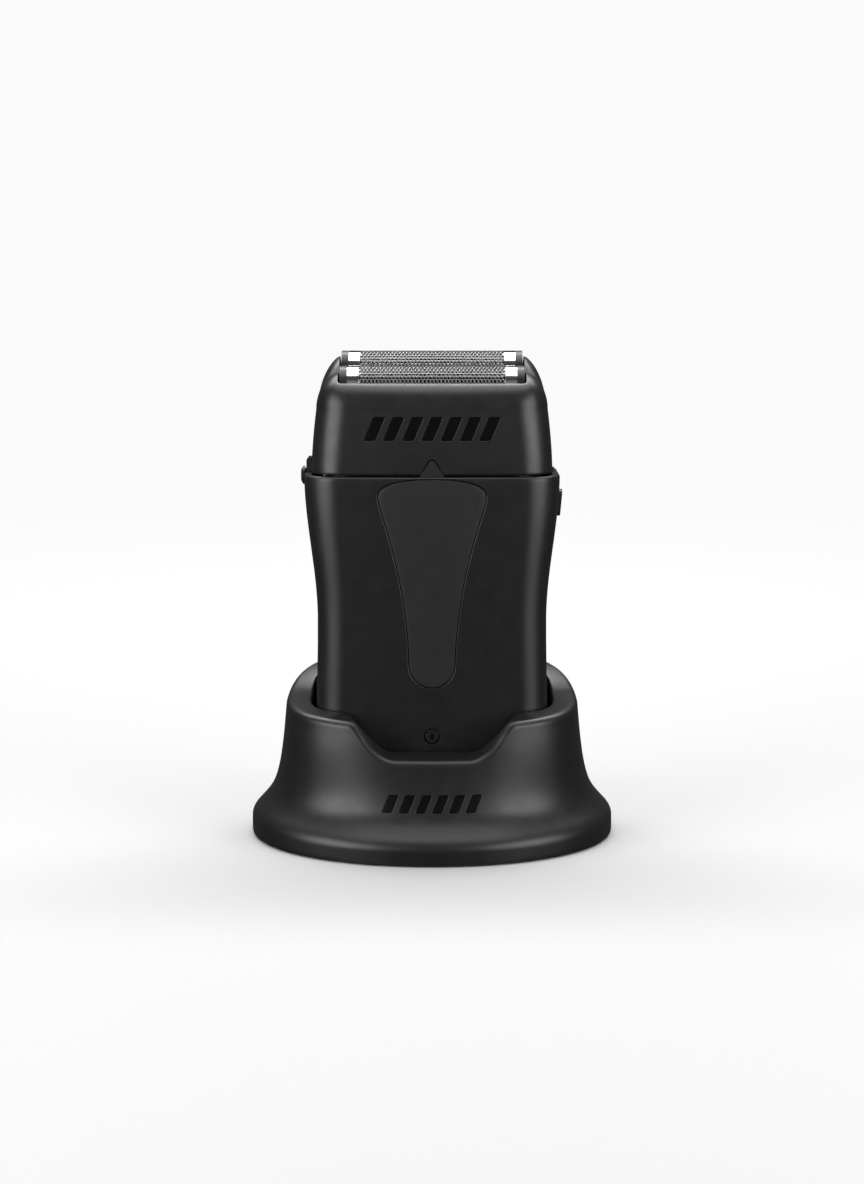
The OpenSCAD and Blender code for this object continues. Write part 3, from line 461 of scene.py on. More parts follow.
foil_steel = metal("foil_steel", (0.115, 0.115, 0.118), (0.155, 0.155, 0.158),
                   roughness=0.22, brush=(0.15, 1, 1), scale=1400, height=0.0012)
band_steel = metal("band_steel", (0.80, 0.80, 0.81), (0.88, 0.88, 0.89),
                   roughness=0.10, brush=(1, 0.1, 0.1), scale=1200, height=0.0008)
spring_steel = metal("spring_steel", (0.50, 0.51, 0.53), (0.62, 0.63, 0.65), roughness=0.2, scale=1500)
ballast_steel = metal("ballast_steel", (0.20, 0.20, 0.21), (0.30, 0.30, 0.31),
                      roughness=0.42, scale=300, height=0.01)
gold = metal("gold", (0.78, 0.56, 0.22), (0.86, 0.65, 0.30), roughness=0.2, scale=1200)
bronze = metal("bronze", (0.45, 0.27, 0.12), (0.56, 0.36, 0.18), roughness=0.4, scale=900, height=0.006)
copper_wire = windings("copper_wire", (0.62, 0.26, 0.10), (0.30, 0.10, 0.04), 900.0)
copper_bar = metal("copper_bar", (0.62, 0.28, 0.14), (0.72, 0.36, 0.20), roughness=0.25, brush=(1, 1, 8))
green_board = board("green_board")
blue_sleeve = sleeve("blue_sleeve", (0.03, 0.13, 0.30), (0.05, 0.17, 0.36), 0.3)
red_vinyl = sleeve("red_vinyl", (0.35, 0.02, 0.015), (0.42, 0.03, 0.02), 0.45)
magnet_grey = metal("magnet_grey", (0.05, 0.05, 0.055), (0.09, 0.09, 0.095),
                    roughness=0.5, scale=500, height=0.01)

# ---------------------------------------------------------------- stand

collar_a = 38.05
# the skin curves out below sweep_z, and more gently below ramp_z
sweep_z = 14.0
ramp_z = 10.2
lip_round = 1.6
lip_drop = 1.0
foot_square, collar_square = 2.06, 2.62
foot_edge = stand_low[2]
skin = 2.2
collar_z = 37.0
collar_rise = collar_back - collar_z
scoop_z = 25.4
scoop_flat = 9.5
scoop_reach = 11.0
scoop_rise = 9.9
collar_round = 1.9
# the wall round the well, the solid depth under the collar's top, and the round at the well's floor
well_wall = 1.8
roof = 3.2
floor_round = 0.8
# half width, half depth and squareness of the well
well_top = (31.65, 20.3, 3.8)
well_foot = (31.0, 18.4, 5.5)


def flare(z):
    """Half width of the skin: upright, then curving out into the foot."""
    high = np.maximum(z, sweep_z)
    sweep = np.maximum(sweep_z - z, 0)
    bend = np.minimum(sweep, sweep_z - ramp_z)
    ramp = np.maximum(ramp_z - z, 0)
    return (collar_a + 0.048 * (29 - high) + 4.1 * (11.7 / high) ** 1.55
            + 0.392 * sweep + 0.06 * bend ** 2 + 0.456 * ramp + 0.0275 * ramp ** 2)


def foot_half_width(z):
    z = np.asarray(z, float)
    return soft_min(flare(z), foot_a, lip_round) - 0.3 * edge_draw(1, np.maximum(z - foot_edge, 0))


def foot_half_depth(z):
    return foot_b - (foot_a - foot_half_width(z + lip_drop)) * 1.03


def foot_squareness(z):
    return mix(foot_square, collar_square, smooth((np.asarray(z, float) - 6) / 24))


def skin_radius(z, angle):
    return superellipse(foot_half_width(z), foot_half_depth(z), foot_squareness(z), angle)


def well_radius(z, angle):
    t = clamp((z - floor_z) / 23)
    a, b, n = (mix(f, u, t) for f, u in zip(well_foot, well_top))
    return superellipse(a, b, n, angle)


def collar_top(x, y):
    """Height of the collar's top: it climbs behind, and a straight cut along Y scoops it out in front."""
    scoop = scoop_z + scoop_rise * (np.maximum(np.abs(x) - scoop_flat, 0) / scoop_reach) ** 2
    front = soft_min(collar_z + 0.08 * y, scoop, 3.0)
    return np.where(y > 0, collar_z + collar_rise * smooth(y / 27), front)


def outer_top(angle):
    r = skin_radius(30.0, angle)
    return collar_top(r * np.cos(angle), r * np.sin(angle))


def inner_top(angle):
    r = well_radius(30.0, angle)
    return np.where(np.sin(angle) > 0, outer_top(angle), collar_top(r * np.cos(angle), r * np.sin(angle)))


def stand_face(x, z):
    """y of the stand's front, at x and z."""
    a, b, n = foot_half_width(z), foot_half_depth(z), foot_squareness(z)
    return -b * (1 - np.abs(x / a) ** n) ** (1 / n)


def stand_mesh():
    # angles are closer together where the collar's scoop turns up
    turn = full_turn(336)
    angle = turn + 0.16 * np.sin(2 * turn) * np.where(np.sin(turn) < 0, 1.0, 0.4)
    top = outer_top(angle)
    well_edge = inner_top(angle)

    def ring(radius, z):
        z = np.broadcast_to(np.asarray(z, float), angle.shape)
        return np.stack([radius * np.cos(angle), radius * np.sin(angle), z], axis=1)

    # from under the well up its wall, down the inside of the skin, up the outside and down into the well
    rings = []
    for t in np.linspace(0, 1, 4):
        z = mix(floor_z - well_wall, well_edge - roof, t)
        rings.append(ring(well_radius(z, angle) + well_wall, z))
    for t in (1, 0.5, 0.2, 0):
        z = mix(foot_edge, top - roof, t)
        rings.append(ring(skin_radius(z, angle) - skin, z))
    for t in np.concatenate([[0, 0.012, 0.03], np.linspace(0.05, 0.5, 26), np.linspace(0.53, 1, 16)]):
        z = mix(foot_edge, top - collar_round, t)
        rings.append(ring(skin_radius(z, angle), z))
    # the collar's edge rolls over with a larger outer radius and a smaller inner one
    outer = skin_radius(top - collar_round, angle)
    inner = well_radius(well_edge, angle)
    roll = 0.8
    for s in np.linspace(0, 90, 10)[1:]:
        c, d = cos_sin(s)
        rings.append(ring(outer - collar_round * (1 - c), top - collar_round * (1 - d)))
    for s in np.linspace(0, 90, 7):
        c, d = cos_sin(s)
        rings.append(ring(inner + roll * (1 - d), well_edge - roll * (1 - c)))
    for t in np.linspace(0, 1, 12)[1:]:
        z = mix(well_edge - roll, floor_z + floor_round, t)
        rings.append(ring(well_radius(z, angle), z))
    for s in (30, 60, 90):
        c, d = cos_sin(s)
        inset = floor_round * (1 - c)
        rings.append(ring(well_radius(floor_z, angle) - inset, floor_z + floor_round * (1 - d)))
    return grid_mesh(rings, caps=(True, True))


def slanted_bars(count, pitch, width, height, lean, middle_z):
    """The generic mark: a row of slanted bars with soft corners, as closed (x, z) outlines."""
    bars = []
    for k in range(count):
        x = (k - (count - 1) / 2) * pitch
        left, right = x - width / 2, x + width / 2
        low, high = middle_z - height / 2, middle_z + height / 2
        corners = [(left - lean, low), (right - lean, low), (right + lean, high), (left + lean, high)]
        bars.append(soft_polygon(corners, 0.45))
    return bars


def soft_polygon(corners, r, steps=5, edge=3):
    """A convex polygon with rounded corners and a few points along each side."""
    c = [np.array(p, float) for p in corners]
    points = []
    for i, p in enumerate(c):
        before = (c[i - 1] - p) / np.linalg.norm(c[i - 1] - p)
        after = (c[(i + 1) % len(c)] - p) / np.linalg.norm(c[(i + 1) % len(c)] - p)
        for s in np.linspace(0, 1, steps):
            points.append(p + r * (before * (1 - s) ** 2 + after * s ** 2))
        start, end = p + r * after, c[(i + 1) % len(c)] - r * after
        for s in np.linspace(0, 1, edge + 2)[1:-1]:
            points.append(mix(start, end, s))
    return np.array(points)


def rounded_slot(half, r, y0, y1, z):
    """A bar with round ends along X, from y0 to y1."""
    a = np.linspace(-90, 90, 13)
    right = [(half - r + r * math.cos(math.radians(t)), z + r * math.sin(math.radians(t))) for t in a]
    outline = right + [(-x, 2 * z - v) for x, v in right]
    rings = [[(x, y, v) for x, v in outline] for y in (y1, y0)]
    return grid_mesh(rings, caps=(True, True))


def round_hole(r, low, high, centre, axis=2):
    a = full_turn(40)
    rings = []
    for h in (low, high):
        p = np.stack([r * np.cos(a), r * np.sin(a), np.full(len(a), h)], axis=1)
        if axis == 1:
            p = np.stack([p[:, 0], p[:, 2], -p[:, 1]], axis=1)
        if axis == 0:
            p = np.stack([p[:, 2], p[:, 1], -p[:, 0]], axis=1)
        rings.append(p + np.array(centre))
    return grid_mesh(rings, caps=(True, True))


def bar_fills(name, bars, surface_y):
    """What lies at the bottom of the generic mark's pockets."""
    return new_object(name, joined(*(plate(bar, surface_y, 0.16, 0.6, 0.1) for bar in bars)), merge=True)


port_low, port_high = box_mm("charge_port")
pins_low, pins_high = box_mm("charge_pins")
pin_x = (pins_high[0] - pins_low[0]) / 2 - 1.5

stand = new_object("stand_skin", stand_mesh())
stand_bars = slanted_bars(6, 4.25, 2.5, 4.4, 0.95, 14.6)
inlet_gap = 0.45
inlet_r = (port_high[2] - port_low[2]) / 2 + inlet_gap
inlet_z = (port_low[2] + port_high[2]) / 2
inlet_hole = rounded_slot(port_high[0] + inlet_gap, inlet_r, port_high[1] - 4, port_high[1] + 4, inlet_z)
cutters = [new_object("inlet_cut", inlet_hole, merge=True)]
cutters += [new_object("pin_cut", round_hole(1.1, 9, 14, (s * pin_x, 0, 0))) for s in (-1, 1)]
cutters += [pocket_cutter("bar_cut", bar, stand_face, 0.5) for bar in stand_bars]
carve(stand, *cutters)
piece(stand, "stand", shell_black, "black_shell", "stand_shell")
piece(bar_fills("stand_mark", stand_bars, stand_face), "stand", mark_black, "black_plastic")

# ---------------------------------------------------------------- handset's housings

waist_half = 29.75
waist_z = 59.0
rim_depth = 17.5
crown = 0.5
wall = 2.0
base_round = 4.0
rim_round = 0.6


def body_half_width(z):
    z = np.asarray(z, float)
    return (waist_half + (rim_half - waist_half) * smooth((z - waist_z) / (rim_z - waist_z))
            + 0.45 * smooth((waist_z - z) / 30))


def body_half_depth(z):
    return rim_depth - 0.8 + 0.8 * smooth((np.asarray(z, float) - 40) / 56)


def body_corner(z):
    return 7.6 + 1.9 * smooth((np.asarray(z, float) - waist_z) / 40)


def body_face(x, z):
    """y of the body's front face."""
    return -body_half_depth(z) - crown * (1 - (x / (body_half_width(z) - body_corner(z))) ** 2)


def half_outline(z, inset, seam=0.0, arc=22, face=30):
    """The front half of the body's outline at a height, from +X to -X."""
    inset = inset + float(edge_draw(base_round, max(z - base_z, 0)))
    hw, hd = float(body_half_width(z)) - inset, float(body_half_depth(z)) - inset
    r = max(float(body_corner(z)) - inset, 1.2)
    cx, cy = hw - r, hd - r
    # a small roll at the parting line
    side = [(hw - seam * (1 - math.sin(t)), -0.02 - seam * (1 - math.cos(t)))
            for t in np.linspace(0, math.pi / 2, 5)]
    side += [(hw, -cy * t) for t in np.linspace(0.08, 0.95, 6)]
    corner = [(cx + r * math.cos(t), -cy - r * math.sin(t)) for t in np.linspace(0, math.pi / 2, arc)]
    right = side + corner
    front = [(x, -hd - crown * (1 - (x / cx) ** 2)) for x in np.linspace(cx, -cx, face + 2)[1:-1]]
    points = right + front + [(-x, y) for x, y in reversed(right)]
    return np.array([(x, y, z) for x, y in points])


def housing_mesh(rear):
    heights = [base_z + base_round * (1 - math.cos(t)) for t in np.linspace(0, math.pi / 2, 12)]
    heights += list(np.linspace(base_z + base_round + 1, rim_z - rim_round, 92))
    outer = [half_outline(z, 0, 0.16) for z in heights]
    for s in (22, 45, 68, 90):
        c, d = cos_sin(s)
        outer.append(half_outline(rim_z - rim_round * (1 - d), rim_round * (1 - c), 0.16))
    inner = [half_outline(rim_z - 0.2 * t, wall - 0.2 * (1 - t)) for t in (0, 1)]
    inner += [half_outline(z, wall) for z in np.linspace(rim_z - 1, base_z + base_round, 14)]
    inner.append(half_outline(base_z, wall))
    rings = np.array(outer + inner)
    # the rings run from the outer skin's foot over the rim and down inside; the seam's edges close it
    if rear:
        rings = rings * np.array([1, -1, 1])
    points, faces = grid_mesh(rings, closed=False, wrap=True)
    rows, cols = rings.shape[:2]
    n_out = len(outer)
    for j in (0, cols - 1):
        edge = [i * cols + j for i in range(rows)]
        out, back = edge[:n_out], edge[n_out:][::-1]
        # zip the many outer points to the few inner ones
        k = 0
        for i in range(len(out) - 1):
            while k < len(back) - 1 and points[back[k + 1]][2] <= points[out[i]][2]:
                faces.append((out[i], back[k], back[k + 1]))
                k += 1
            faces.append((out[i], out[i + 1], back[k]))
        while k < len(back) - 1:
            faces.append((out[-1], back[k], back[k + 1]))
            k += 1
    return points, faces


def inlay_outline(steps=46):
    """Closed (x, z) outline of the inlay: round foot, hollow waist, wide shoulders."""
    t = (1 - np.cos(np.linspace(0, math.pi, steps))) / 2
    t = mix(t, (1 - np.cos(t * math.pi)) / 2, 0.6)
    z = mix(inlay_foot + 0.001, inlay_top - 0.001, t)
    waist = mix(5.8, 13.5, np.maximum((z - 46) / 43, 0) ** 1.9)
    d = inlay_top - z
    top = 13.9 * (1 - (1 - clamp(d / 5.5)) ** 3) ** 0.45
    f = clamp((z - inlay_foot) / 5.8)
    half = np.where(f < 1, 5.8 * np.sqrt(1 - (1 - f) ** 2), soft_min(waist, top, 1.2))
    half[0] = half[-1] = 0
    right = np.stack([half, z], axis=1)
    left = right[1:-1][::-1] * np.array([-1, 1])
    return np.concatenate([right, left])


def resample(outline, spacing):
    """The closed outline with points evenly spaced along it."""
    closed = np.concatenate([outline, outline[:1]])
    length = np.concatenate([[0], np.cumsum(np.linalg.norm(np.diff(closed, axis=0), axis=1))])
    count = int(length[-1] / spacing) // 2 * 2
    at = np.linspace(0, length[-1], count, endpoint=False)
    return np.stack([np.interp(at, length, closed[:, k]) for k in (0, 1)], axis=1)


def box_cut(low, high):
    (x0, y0, z0), (x1, y1, z1) = low, high
    rings = [[(x0, y0, z), (x1, y0, z), (x1, y1, z), (x0, y1, z)] for z in (z0, z1)]
    return grid_mesh(rings, caps=(True, True))


posts = [(-24, 24), (24, 24), (-25.5, 76), (25.5, 76)]
slot_low, slot_high = 85.8, 90.9
notch_z = 93.6
button_low, button_high = box_mm("release_button")
button_travel = 1.0
pad_r = 2.4
pad_z = button_low[2] + pad_r


def side_cuts():
    """The power slider's slot, the release button's notch, and the recess for the button's pad."""
    pad_depth = button_travel - rim_half - 0.1
    return [new_object("stem_cut", box_cut((25, -1.25, slot_low), (40, 1.25, slot_high))),
            new_object("notch_cut", box_cut((-40, -1.75, notch_z), (-25, 1.75, rim_z + 1))),
            new_object("pad_cut", round_hole(pad_r + 0.3, -40, pad_depth, (0, 0, pad_z), 0))]


inlay_edge = resample(inlay_outline(200), 0.6)
front = new_object("front_shell", housing_mesh(False), merge=True)
front_cuts = side_cuts()
front_cuts.append(pocket_cutter("inlay_cut", inlay_edge, body_face, 1.1, 0.22, 0.2))
front_cuts.append(new_object("lens_cut", round_hole(2.08, -20, -10, (0, 0, lens_z), 1)))
carve(front, *front_cuts)
piece(front, "handset", shell_black, "black_shell", "front_housing")

inlay = new_object("inlay_plate", plate(inlay_edge, body_face, -0.02, 0.9, 0.18, 8), merge=True)
piece(inlay, "handset", inlay_black, "inlay", "front_inlay")


def disc_outline(r, x, z, count=40):
    a = full_turn(count)
    return np.stack([x + r * np.cos(a), z + r * np.sin(a)], axis=1)


# the indicator: a window flush with the face, with a thin groove round it and a small generic symbol in it
window_mesh = plate(disc_outline(1.78, 0, lens_z), body_face, 0.02, 2.6, 0.16)
window = new_object("indicator_window", window_mesh, merge=True)
piece(window, "handset", window_black, "lens", "indicator_lens")
symbol = [soft_polygon([(x0, lens_z + z0), (x1, lens_z + z0), (x1, lens_z + z1), (x0, lens_z + z1)], 0.12)
          for x0, x1, z0, z1 in ((-0.42, 0.42, -0.75, 0.55), (-0.18, 0.18, 0.66, 0.86))]
symbol_mesh = joined(*(plate(bar, body_face, -0.02, 0.1, 0.03) for bar in symbol))
piece(new_object("indicator_symbol", symbol_mesh, merge=True), "handset", mark_black, "lens")

rear = new_object("rear_shell", housing_mesh(True), merge=True)
rear_cuts = side_cuts()
rear_cuts += [new_object("screw_cut", round_hole(2.4, 13.5, 25, (x, 0, z), 1)) for x, z in posts]
carve(rear, *rear_cuts)
piece(rear, "handset", shell_black, "black_shell", "rear_housing")

lug = new_object("rim_lug", box_cut((rim_half - 1.7, -1.2, rim_z - 0.6),
                                    (rim_half - 1.1, 1.2, rim_z + lug_height)))
soften(lug, 0.15)
piece(lug, "handset", shell_black, "black_shell")

# ---------------------------------------------------------------- head cover

slot_half = 24.1
slot_front = -12.1
slot_back = 13.3
cover_wall = 1.9
cover_r = 8.6
shoulder_z = 113.0
crease_y = -1.6


def cover_half_width(z):
    return 31.1 - 1.25 * clamp((z - head_z) / (shoulder_z - head_z)) ** 1.65


def cover_half_depth(z):
    return 17 - 1.1 * clamp((z - head_z) / (shoulder_z - head_z)) ** 1.6


def cover_face(x, z):
    return -cover_half_depth(z) - crown * (1 - (x / (cover_half_width(z) - cover_r)) ** 2)


def cover_top(y):
    return np.maximum(front_crest - 1.7 - 0.067 * (y + 6) ** 2, rear_crest - 1.45 - 0.067 * (y - 7) ** 2)


# where the slot's sides end and its corners begin
slot_side = 8.6
side_steps = np.concatenate([np.linspace(-1, crease_y / slot_side, 12),
                             np.linspace(crease_y / slot_side, 1, 14)[1:]])
arc_count = 18
face_count = 30


def whole_loop(right, back_corner, back, front_corner, front):
    half = np.concatenate([front, front_corner, right, back_corner, back])
    other = half[1:-1][::-1] * np.array([-1, 1])
    return np.concatenate([half, other])


def cover_loop(hw, hd, r):
    cx, cy = hw - r, hd - r
    right = np.stack([np.full(len(side_steps), hw), cy * side_steps], axis=1)
    a = np.linspace(0, math.pi / 2, arc_count + 1)[1:]
    back_corner = np.stack([cx + r * np.cos(a), cy + r * np.sin(a)], axis=1)
    x = cx * (1 - np.arange(1, face_count // 2 + 1) * 2 / face_count)
    back = np.stack([x, hd + crown * (1 - (x / cx) ** 2)], axis=1)
    flip = np.array([1, -1])
    return whole_loop(right, back_corner, back, back_corner[::-1] * flip, back[::-1] * flip)


def slot_corner(y0, y1):
    """The slot's corner from its side to its end, with one small round."""
    r = 0.6
    s = math.copysign(1, y1)
    points = []
    for t in np.linspace(0, 1, arc_count + 1)[1:]:
        if t <= 0.55:
            points.append((slot_half, mix(y0, y1 - s * r, t / 0.55)))
        elif t <= 0.75:
            a = (t - 0.55) / 0.2 * math.pi / 2
            points.append((slot_half - r * (1 - math.cos(a)), y1 - s * r * (1 - math.sin(a))))
        else:
            points.append((mix(slot_half - r, slot_half - 3, (t - 0.75) / 0.25), y1))
    return np.array(points)


def slot_loop():
    right = np.stack([np.full(len(side_steps), slot_half), slot_side * side_steps], axis=1)
    x = (slot_half - 3) * (1 - np.arange(1, face_count // 2 + 1) * 2 / face_count)
    back = np.stack([x, np.full(len(x), slot_back)], axis=1)
    front = np.stack([x, np.full(len(x), slot_front)], axis=1)[::-1]
    back_corner, front_corner = slot_corner(slot_side, slot_back), slot_corner(-slot_side, slot_front)
    return whole_loop(right, back_corner, back, front_corner[::-1], front)


def cover_mesh():
    slot = slot_loop()
    top = cover_top(slot[:, 1])

    def outline(z, inset):
        hw, hd = float(cover_half_width(z)) - inset, float(cover_half_depth(z)) - inset
        loop = cover_loop(hw, hd, cover_r - inset)
        return np.column_stack([loop, np.full(len(loop), z)])

    power = mix(1.2, 1.42, smooth((slot[:, 1] - crease_y) / 5))[:, None]

    def shoulder(base, angle, drop, reach=0.0):
        c, d = cos_sin(angle)
        xy = slot + (base[:, :2] - slot) * (max(c, 0) ** power * (1 - reach) + reach)
        return np.column_stack([xy, mix(base[:, 2], top - drop, d)])

    rings = []
    for s in (0, 30, 60, 90):
        c, d = cos_sin(s)
        rings.append(outline(head_z + 0.4 * (1 - c), 0.4 * (1 - d)))
    rings += [outline(z, 0) for z in np.linspace(head_z + 0.8, shoulder_z, 44)]
    base = outline(shoulder_z, 0)
    rings += [shoulder(base, a, 0, 0.02) for a in np.linspace(0, 90, 24)[1:]]
    # a small roll into the slot
    rings.append(np.column_stack([slot, top - 0.12]))
    inner_base = outline(shoulder_z - 1.5, cover_wall)
    rings += [shoulder(inner_base, a, cover_wall) for a in (90, 60, 30, 0)]
    rings += [outline(z, cover_wall) for z in np.linspace(shoulder_z - 4, head_z + 0.2, 5)]
    rings.append(outline(head_z, cover_wall - 0.2))
    return grid_mesh(rings, wrap=True)


def tab_outline(grow):
    """The deck's tab, grown by a gap: a rounded triangle that points up from the seam."""
    a = np.radians(np.linspace(35, 145, 12))
    r = 0.9 + grow
    apex = [(r * math.cos(t), rim_z + 3.36 + r * math.sin(t)) for t in a]
    foot = 3.2 + grow * 1.25
    return np.array([(foot, rim_z - 0.6)] + apex + [(-foot, rim_z - 0.6)])


cover = new_object("head_shell", cover_mesh(), sharp=40, merge=True)
head_bars = slanted_bars(7, 4.9, 3.0, 6.0, 1.3, 108.4)
tab_rings = [[(x, y, z) for x, z in tab_outline(0.35)] for y in (-10, -22)]
button_hole = box_cut((-40, -3.1, rim_z - 1), (button_travel + 1.95 - rim_half, 3.1, button_high[2] + 0.7))
cover_cuts = [new_object("tab_cut", grid_mesh(tab_rings, caps=(True, True)), merge=True),
              new_object("button_cut", button_hole)]
cover_cuts += [pocket_cutter("bar_cut", bar, cover_face, 0.5) for bar in head_bars]
carve(cover, *cover_cuts)
piece(cover, "head", shell_black, "black_shell", "head_cover")
piece(bar_fills("head_mark", head_bars, cover_face), "head", mark_black, "black_plastic")

# ---------------------------------------------------------------- foils

foil_leg = 10.0
mesh_half = 18.9
pitch = 0.945
# the rows stand a little closer than the holes in a row
row_step = 0.93
foil_gauge = 0.12


def foil_point(s, r):
    """A point of the foil's section, s mm round from the crest: an arch on two straight legs."""
    quarter = foil_r * math.pi / 2
    if abs(s) <= quarter:
        a = s / foil_r
        return r * math.sin(a), r * math.cos(a)
    return math.copysign(r, s), -(abs(s) - quarter)


def perforated(y, crest, name):
    """A perforated sheet: rows of round holes, each row half a pitch on from the last."""
    rows = int(foil_r * math.pi / pitch / row_step)
    row_pitch = foil_r * math.pi / rows
    columns = int(round(2 * mesh_half / pitch))
    start = -rows * row_pitch / 2
    hole = (0.41, 0.37)
    points, faces, index = [], [], {}

    def vertex(x, s):
        key = (round(x, 4), round(s, 4))
        if key not in index:
            index[key] = len(points)
            # a hair inside, so that the sheet's outer face stays within the foil
            v, w = foil_point(s, foil_r - foil_gauge / 2 - 0.005)
            points.append((x, y + v, crest - foil_r + w))
        return index[key]

    corners = [(1, 0), (1, 1), (0, 1), (-1, 1), (-1, 0), (-1, -1), (0, -1), (1, -1)]
    angles = [math.radians(45 * k) for k in range(8)]
    for i in range(rows):
        shift = 0.5 * pitch if i % 2 else 0.0
        s0 = start + (i + 0.5) * row_pitch
        count = columns - (1 if i % 2 else 0)
        for j in range(count):
            x0 = -mesh_half + (j + 0.5) * pitch + shift
            ring = [vertex(x0 + c[0] * pitch / 2, s0 + c[1] * row_pitch / 2) for c in corners]
            rim = [vertex(x0 + hole[0] * math.cos(a), s0 + hole[1] * math.sin(a)) for a in angles]
            for k in range(8):
                n = (k + 1) % 8
                faces.append((ring[k], ring[n], rim[n], rim[k]))
        if shift:
            for x_edge, sign in ((-mesh_half, 1), (mesh_half, -1)):
                a = [vertex(x_edge, s0 + k * row_pitch / 2) for k in (-1, 0, 1)]
                b = [vertex(x_edge + sign * shift, s0 + k * row_pitch / 2) for k in (-1, 0, 1)]
                for k in range(2):
                    quad = (a[k], b[k], b[k + 1], a[k + 1])
                    faces.append(quad if sign > 0 else quad[::-1])
    obj = new_object(name, (points, faces))
    thick = obj.modifiers.new("gauge", "SOLIDIFY")
    thick.thickness = foil_gauge * MM
    thick.offset = 0
    return obj


def plain_sheet(y, crest):
    """The foil's plain parts: its legs all along, and a band over the top at each end."""
    foil_half = front_foil_box[1][0]
    quarter = foil_r * math.pi / 2
    reach = quarter + foil_leg - foil_r
    parts = []
    patches = ((mesh_half, foil_half, -reach, reach), (-foil_half, -mesh_half, -reach, reach),
               (-mesh_half, mesh_half, -reach, -quarter), (-mesh_half, mesh_half, quarter, reach))
    for x0, x1, s0, s1 in patches:
        across = np.linspace(s0, s1, 60 if s1 - s0 > 10 else 4)
        rings = []
        for x, r in ((x0, foil_r - foil_gauge), (x0, foil_r), (x1, foil_r), (x1, foil_r - foil_gauge)):
            rings.append([(x, y + foil_point(s, r)[0], crest - foil_r + foil_point(s, r)[1]) for s in across])
        rings = np.array(rings)
        parts.append(grid_mesh(rings, closed=False, wrap=True))
    return joined(*parts)


def end_plate(y, crest, sign):
    """A foil's end: a black arch a little smaller than the foil, with a rounded outer edge."""
    x0, x1, leg = front_foil_box[1][0] + 0.03, 23.65, 7
    rings = []
    for x, inset in ((x0, 2.5), (x0, 0.0), (x1 - 0.35, 0.0), (x1 - 0.12, 0.08), (x1, 0.35), (x1, 2.5)):
        r = foil_r - 0.02 - inset
        loop = [(sign * x, y + r * math.sin(a), crest - foil_r + r * math.cos(a))
                for a in np.linspace(-math.pi / 2, math.pi / 2, 40)]
        foot = crest - foil_r - leg + inset * 0.3
        loop += [(sign * x, y + r, foot), (sign * x, y - r, foot)]
        rings.append(loop)
    return grid_mesh(rings if sign < 0 else rings[::-1], caps=(True, True))


for side, y, crest in (("front", front_y, front_crest), ("rear", rear_y, rear_crest)):
    body = side + "_foil_unit"
    net = perforated(y, crest, side + "_foil_mesh")
    piece(net, body, foil_steel, "foil_steel", side + "_foil")
    band = new_object(side + "_foil_bands", plain_sheet(y, crest), merge=True)
    piece(band, body, band_steel, "foil_steel")
    arches = joined(end_plate(y, crest, 1), end_plate(y, crest, -1))
    ends = new_object(side + "_foil_ends", arches, merge=True)
    piece(ends, body, mark_black, "black_plastic")

# ---------------------------------------------------------------- springs and flexures

upright_springs = ("pin_springs", "front_cutter_spring", "rear_cutter_spring", "front_foil_springs",
                   "rear_foil_springs")
spring_z = {node: (box_mm(node)[0][2], box_mm(node)[1][2]) for node in upright_springs}


def spring(name, node, meshes, material=None):
    obj = new_object(name, joined(*meshes), merge=True)
    obj.data.materials.append(material or spring_steel)
    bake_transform(obj)
    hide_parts(node)


low, high = spring_z["pin_springs"]
spring("pin_coils", "pin_springs",
       [coil(1.15, 0.15, low, high, 4, (s * pin_x, 0)) for s in (-1, 1)])
for side, y in (("front", front_y), ("rear", rear_y)):
    node = side + "_cutter_spring"
    low, high = spring_z[node]
    spring(side + "_cutter_coil", node,
           [coil(2.1, 0.22, low, high, 6, (0, y))])
    node = side + "_foil_springs"
    low, high = spring_z[node]
    spring(side + "_foil_coils", node,
           [coil(0.95, 0.16, low, high, 8, (s * 22.5, y)) for s in (-1, 1)])
low, high = box_mm("release_spring")
spring("release_coil", "release_spring",
       [coil(1.05, 0.14, low[0], high[0], 5, (-(low[2] + high[2]) / 2, 0), axis=0)])


def flexure_mesh():
    """Thin spring legs with a thicker foot, in many short steps along their height."""
    low, high = box_mm("bridge_flexures")
    x, half_depth, corner = 11.5, 5, 0.2
    parts = []
    for s in (-1, 1):
        rings = []
        for z in np.linspace(low[2], high[2], 26):
            foot = 0.9 * (1 - smooth((z - low[2]) / 1.4))
            x0, x1 = x, x + 0.7 + foot
            y0, y1 = half_depth - corner, half_depth
            loop = [(x0, -y0, z), (x0, y0, z), (x0 + 0.15, y1, z), (x1 - 0.15, y1, z),
                    (x1, y0, z), (x1, -y0, z), (x1 - 0.15, -y1, z), (x0 + 0.15, -y1, z)]
            rings.append([(s * p[0], p[1], p[2]) for p in loop])
        parts.append(grid_mesh(rings, caps=(True, True)))
    return joined(*parts), low[2], high[2]


legs, low, high = flexure_mesh()
spring("flexure_legs", "bridge_flexures", [legs],
       ivory)

# ---------------------------------------------------------------- the frame's own solids

